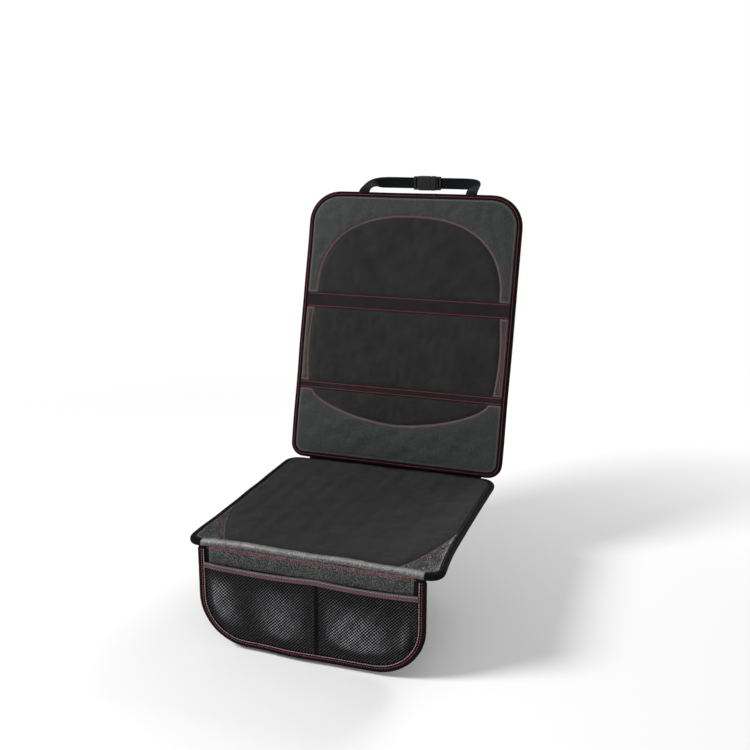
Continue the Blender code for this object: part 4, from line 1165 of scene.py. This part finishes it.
def bandStations(node):
    # four corners at each station along a solid band, from the one of its ends that is found first;
    # an end is two flush triangles with four sharp sides
    shape = nodeMesh(node, Matrix.Identity(4))
    end = None
    for face in shape.faces:
        for edge in face.edges:
            other = next((f for f in edge.link_faces if f is not face), None)
            if other and face.normal.dot(other.normal) > 0.9999:
                rim = [e for f in (face, other) for e in f.edges if e is not edge]
                if all(e.calc_face_angle(0) > 1.2 for e in rim):
                    end = {v for f in (face, other) for v in f.verts}
    layer, seen, stations = sorted(end, key=lambda v: tuple(v.co)), set(end), []
    first = layer[0]
    rest = sorted(layer[1:], key=lambda v: (v.co - first.co).length)
    layer = [first, rest[0], rest[2], rest[1]]
    while len(layer) == 4:
        stations.append([tuple(v.co) for v in layer])
        ahead = {w for v in layer for e in v.link_edges for w in [e.other_vert(v)] if w not in seen}
        seen |= ahead
        orders = permutations(ahead) if len(ahead) == 4 else []
        layer = min(orders, key=lambda o: sum((w.co - v.co).length for v, w in zip(layer, o)), default=[])
    shape.free()
    return np.array(stations)


def bandLine(node, spacing=0.0025, softness=4):
    # centreline and width direction of a solid band, its width and its length
    corners = bandStations(node)
    middle = corners.mean(axis=1)
    sideA = corners[:, 0] - corners[:, 1] + corners[:, 3] - corners[:, 2]
    sideB = corners[:, 1] - corners[:, 2] + corners[:, 0] - corners[:, 3]
    ups = sideA if np.linalg.norm(sideA[0]) > np.linalg.norm(sideB[0]) else sideB
    width = float(np.linalg.norm(ups[0])) / 2
    ups /= np.linalg.norm(ups, axis=1)[:, None]
    reach = reachOf(middle)
    wanted = np.linspace(0, reach[-1], max(8, int(reach[-1] / spacing)))
    line, turns = valuesAt(wanted, reach, middle), valuesAt(wanted, reach, ups)
    soften(line, softness)
    soften(turns, softness)
    return line, turns, width, float(reach[-1])


strapLooks = {"thickness": 0.0016, "columns": 14, "selvedge": 0.00022}
stripLooks = {"thickness": 0.0016, "columns": 40}
webbing = ("webbing", "webbing")
for side in ("Left", "Right"):
    node = "headrest_strap_" + side.lower()
    line, ups, width, length = bandLine(node, softness=24)
    strap = ribbon("headrestStrap" + side, line, ups, width, strapLooks, stay, webbing, node)
    node = "crease_tab_" + side.lower()
    line, ups, width, length = bandLine(node)
    tab = ribbon("creaseTab" + side, line, ups, width, strapLooks, stay, webbing, node)
line, ups, width, length = bandLine("crease_strip", 0.0015)
creaseStrip = ribbon(
    "creaseStrip", line, ups, width, stripLooks, stay, ("paddingFabric", "padding_fabric"), "crease_strip")
for node in ("buckle_socket", "buckle_plug", "crease_tube_right", "crease_tube_left"):
    for slot in frame["nodes"][node].material_slots:
        slot.material = finish["plastic"]
print("straps and strip made")

# stitches: real thread laid along each row, found by a ray on the finished cloth

stitchLooks = {"pitch": 0.0048, "length": 0.0038, "radius": 0.00068, "sink": 0.0004, "sides": 6,
               "stray": 0.0002, "slant": 0.00012, "above": 0.05, "search": 0.12}
threadSets = {}


def surfaceOf(*pieces):
    points, faces = [], []
    for piece in pieces:
        shift = len(points)
        points += [tuple(v.co) for v in piece.data.vertices]
        faces += [tuple(shift + i for i in p.vertices) for p in piece.data.polygons]
    return BVHTree.FromPolygons(points, faces)


def layStitches(group, tree, line, panel, closed=False, **changes):
    looks = {**stitchLooks, **changes}
    line = np.asarray(line, float)
    if closed:
        line = np.vstack([line, line[:1]])
    reach = reachOf(line)
    count = int(reach[-1] / looks["pitch"])
    direction = -np.array(panel[0].to_3x3())[:, 2]
    draw = np.random.default_rng(len(threadSets) + count)
    half = looks["length"] / 2
    for n in range(count):
        middle = (n + 0.5) * reach[-1] / count + draw.uniform(-looks["stray"], looks["stray"])
        flat = valuesAt([middle - half, middle, middle + half], reach, line)
        flat[[0, 2]] += draw.normal(0, looks["slant"], (2, 2))
        starts = toWorld(np.column_stack([flat, np.full(3, looks["above"])]), panel)
        hits = [tree.ray_cast(Vector(s), Vector(direction), looks["search"]) for s in starts]
        if any(h[0] is None for h in hits):
            continue
        ends = [np.array(h[0]) for h in hits]
        if max(np.linalg.norm(ends[k] - ends[1]) for k in (0, 2)) > looks["length"]:
            continue
        normal = np.array(hits[1][1])
        normal = normal if normal @ direction < 0 else -normal
        threadSets.setdefault(group, []).append((ends, normal, looks))


def sewThreads(name, group, color):
    # each stitch: a short thread that comes up out of the cloth and goes back in
    points, faces, uv = [], [], []
    sides = stitchLooks["sides"]
    stations = ((-1, 0.45, -1), (-0.72, 0.95, 0.2), (0, 1.05, 0.75), (0.72, 0.95, 0.2), (1, 0.45, -1))
    for ends, normal, looks in threadSets[group]:
        along = ends[2] - ends[0]
        along /= np.linalg.norm(along)
        across = np.cross(normal, along)
        across /= np.linalg.norm(across)
        base = len(points)
        for t, thick, rise in stations:
            share = abs(t)
            middle = ends[1] * (1 - share) + (ends[0] if t < 0 else ends[2]) * share
            height, radius = looks["sink"] * rise, looks["radius"] * thick
            for k in range(sides):
                angle = 2 * math.pi * k / sides
                spot = middle + across * math.cos(angle) * radius
                points.append(spot + normal * (height + math.sin(angle) * radius * 0.8))
                uv.append((k / sides * 0.0036, (t + 1) * 0.0018))
        faces += [tuple(base + v for v in face) for face in bandFaces(len(stations), sides)]
    makePiece(name, points, faces, (color, "stitching"), (), uv, smooth=60)
    print(name, len(threadSets[group]), "stitches")


def insetLine(line, inset, closed=False):
    return line + inwardNormals(line, closed) * inset


seatSurface = surfaceOf(seatLeather, seatBinding)
seatInset, backInset = (tape["bindingWidth"] - looks["stitchIn"] for looks in (seatTape, backTape))
layStitches("seatDark", seatSurface, insetLine(seatRim, seatInset), onSeat)
for row in wedgeRows:
    layStitches("seat", seatSurface, row, onSeat)
flapSurface = surfaceOf(flapBand, flapBinding, pocketHem, flapCloth)
for row in lipRows:
    layStitches("flapRed", flapSurface, row, onFlap, radius=0.0006)
rimInset = flapSize["bindingWidth"] - flapTape["stitchIn"]
layStitches("flapRed", flapSurface, insetLine(flapRim, rimInset), onFlap)
layStitches(
    "flapPale", flapSurface, insetLine(flapRim, rimInset + 0.0045), onFlap, length=0.0044, radius=0.00075)
for level, group in ((hemSpan[1][1] - 0.0028, "flapPale"), (hemSpan[0][1] + 0.0024, "flapRed")):
    layStitches(group, flapSurface, hemPath[:, :2] + (0, level - hemMiddle), onFlap)
backSurface = surfaceOf(backBinding, *backPieces.values())
layStitches("back", backSurface, insetLine(backRim, backInset, True), onBack, closed=True)
for row in [*sum(backRows.values(), []), *beltRows]:
    layStitches("back", backSurface, row, onBack)
for name, group, color in (
        ("seatStitches", "seat", "redThread"), ("seatBindingStitches", "seatDark", "darkThread"),
        ("flapRedStitches", "flapRed", "redThread"), ("flapPaleStitches", "flapPale", "paleThread"),
        ("backStitches", "back", "redThread")):
    sewThreads(name, group, color)
print("stitches made")
# stage, light and camera

stage = {
    "floorDrop": 0.008, "floorSize": 9.0, "floorColors": ((0.82, 0.82, 0.82, 1), (0.90, 0.90, 0.90, 1)),
    "world": 0.26, "clear": (0.75, 2.1), "white": (1, 1, 1, 1),
    "key": {"place": (-2.3, -1.9, 2.4), "size": 1.2, "power": 150},
    "fill": {"place": (2.2, -2.8, 1.2), "size": 2.4, "power": 24},
    "rim": {"place": (0.9, 2.8, 1.9), "size": 2.0, "power": 75},
    "aim": (0, 0.05, 0.15),
}


def makeFloor():
    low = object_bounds()[0][2] - stage["floorDrop"]
    bpy.ops.mesh.primitive_plane_add(size=stage["floorSize"], location=(0, 0, low))
    floor = bpy.context.object
    floor.name = "floor"
    material = bpy.data.materials.new("floor")
    material.use_nodes = True
    tree = material.node_tree
    shader = tree.nodes["Principled BSDF"]
    place = addNode(tree, "TexCoord")["Object"]
    color = mixNode(tree, noiseNode(tree, place, 0.6, 2.0), *stage["floorColors"])
    fillInputs(tree, shader, named={"Base Color": color, "Roughness": 0.9, "Specular IOR Level": 0.1})
    # towards its edge the floor turns into the plain white background
    distance = vectorNode(tree, "LENGTH", place, output="Value")
    seen = addNode(tree, "LightPath")["Is Camera Ray"]
    far = mathNode(tree, "MULTIPLY", rangeNode(tree, distance, *stage["clear"]), seen)
    white = addNode(tree, "Emission", stage["white"])[0]
    blend = addNode(tree, "MixShader", far, shader.outputs[0], white)[0]
    # from below the floor is clear, so that the underside can be seen
    below = addNode(tree, "NewGeometry")["Backfacing"]
    sided = addNode(tree, "MixShader", below, blend, addNode(tree, "BsdfTransparent")[0])[0]
    tree.links.new(sided, tree.nodes["Material Output"].inputs["Surface"])
    floor.data.materials.append(material)


def makeLamp(name, looks):
    lamp = bpy.data.lights.new(name, "AREA")
    lamp.shape = "DISK"
    lamp.size = looks["size"]
    lamp.energy = looks["power"]
    holder = bpy.data.objects.new(name, lamp)
    scene.collection.objects.link(holder)
    holder.location = looks["place"]
    aim = Vector(stage["aim"]) - Vector(looks["place"])
    holder.rotation_euler = aim.to_track_quat("-Z", "Y").to_euler()


def makeWorld():
    world = bpy.data.worlds.new("world")
    world.use_nodes = True
    tree = world.node_tree
    seen = addNode(tree, "LightPath")["Is Camera Ray"]
    strength = mathNode(tree, "MULTIPLY_ADD", seen, 1.0 - stage["world"], stage["world"])
    fillInputs(tree, tree.nodes["Background"], named={"Strength": strength, "Color": stage["white"]})
    scene.world = world


def makeCamera():
    view = {"turn": 18.79, "tilt": 14.57, "roll": 0.19, "lens": 45.61, "place": (0.604, -1.647, 0.7358)}
    turn, tilt, roll = (math.radians(view[k]) for k in ("turn", "tilt", "roll"))
    back = Vector((math.sin(turn) * math.cos(tilt), -math.cos(turn) * math.cos(tilt), math.sin(tilt)))
    right = (-back).cross(Vector((0, 0, 1))).normalized()
    up = right.cross(-back)
    side = math.cos(roll) * right + math.sin(roll) * up
    top = -math.sin(roll) * right + math.cos(roll) * up
    camera = bpy.data.objects.new("camera", bpy.data.cameras.new("camera"))
    scene.collection.objects.link(camera)
    turned = Matrix((side, top, back)).transposed().to_4x4()
    camera.matrix_world = Matrix.Translation(view["place"]) @ turned
    camera.data.lens = view["lens"]
    camera.data.sensor_width = 36
    camera.data.clip_end = 50
    scene.camera = camera


makeFloor()
for lampName in ("key", "fill", "rim"):
    makeLamp(lampName, stage[lampName])
makeWorld()
makeCamera()
scene.view_settings.view_transform = "Standard"
print("scene ready")
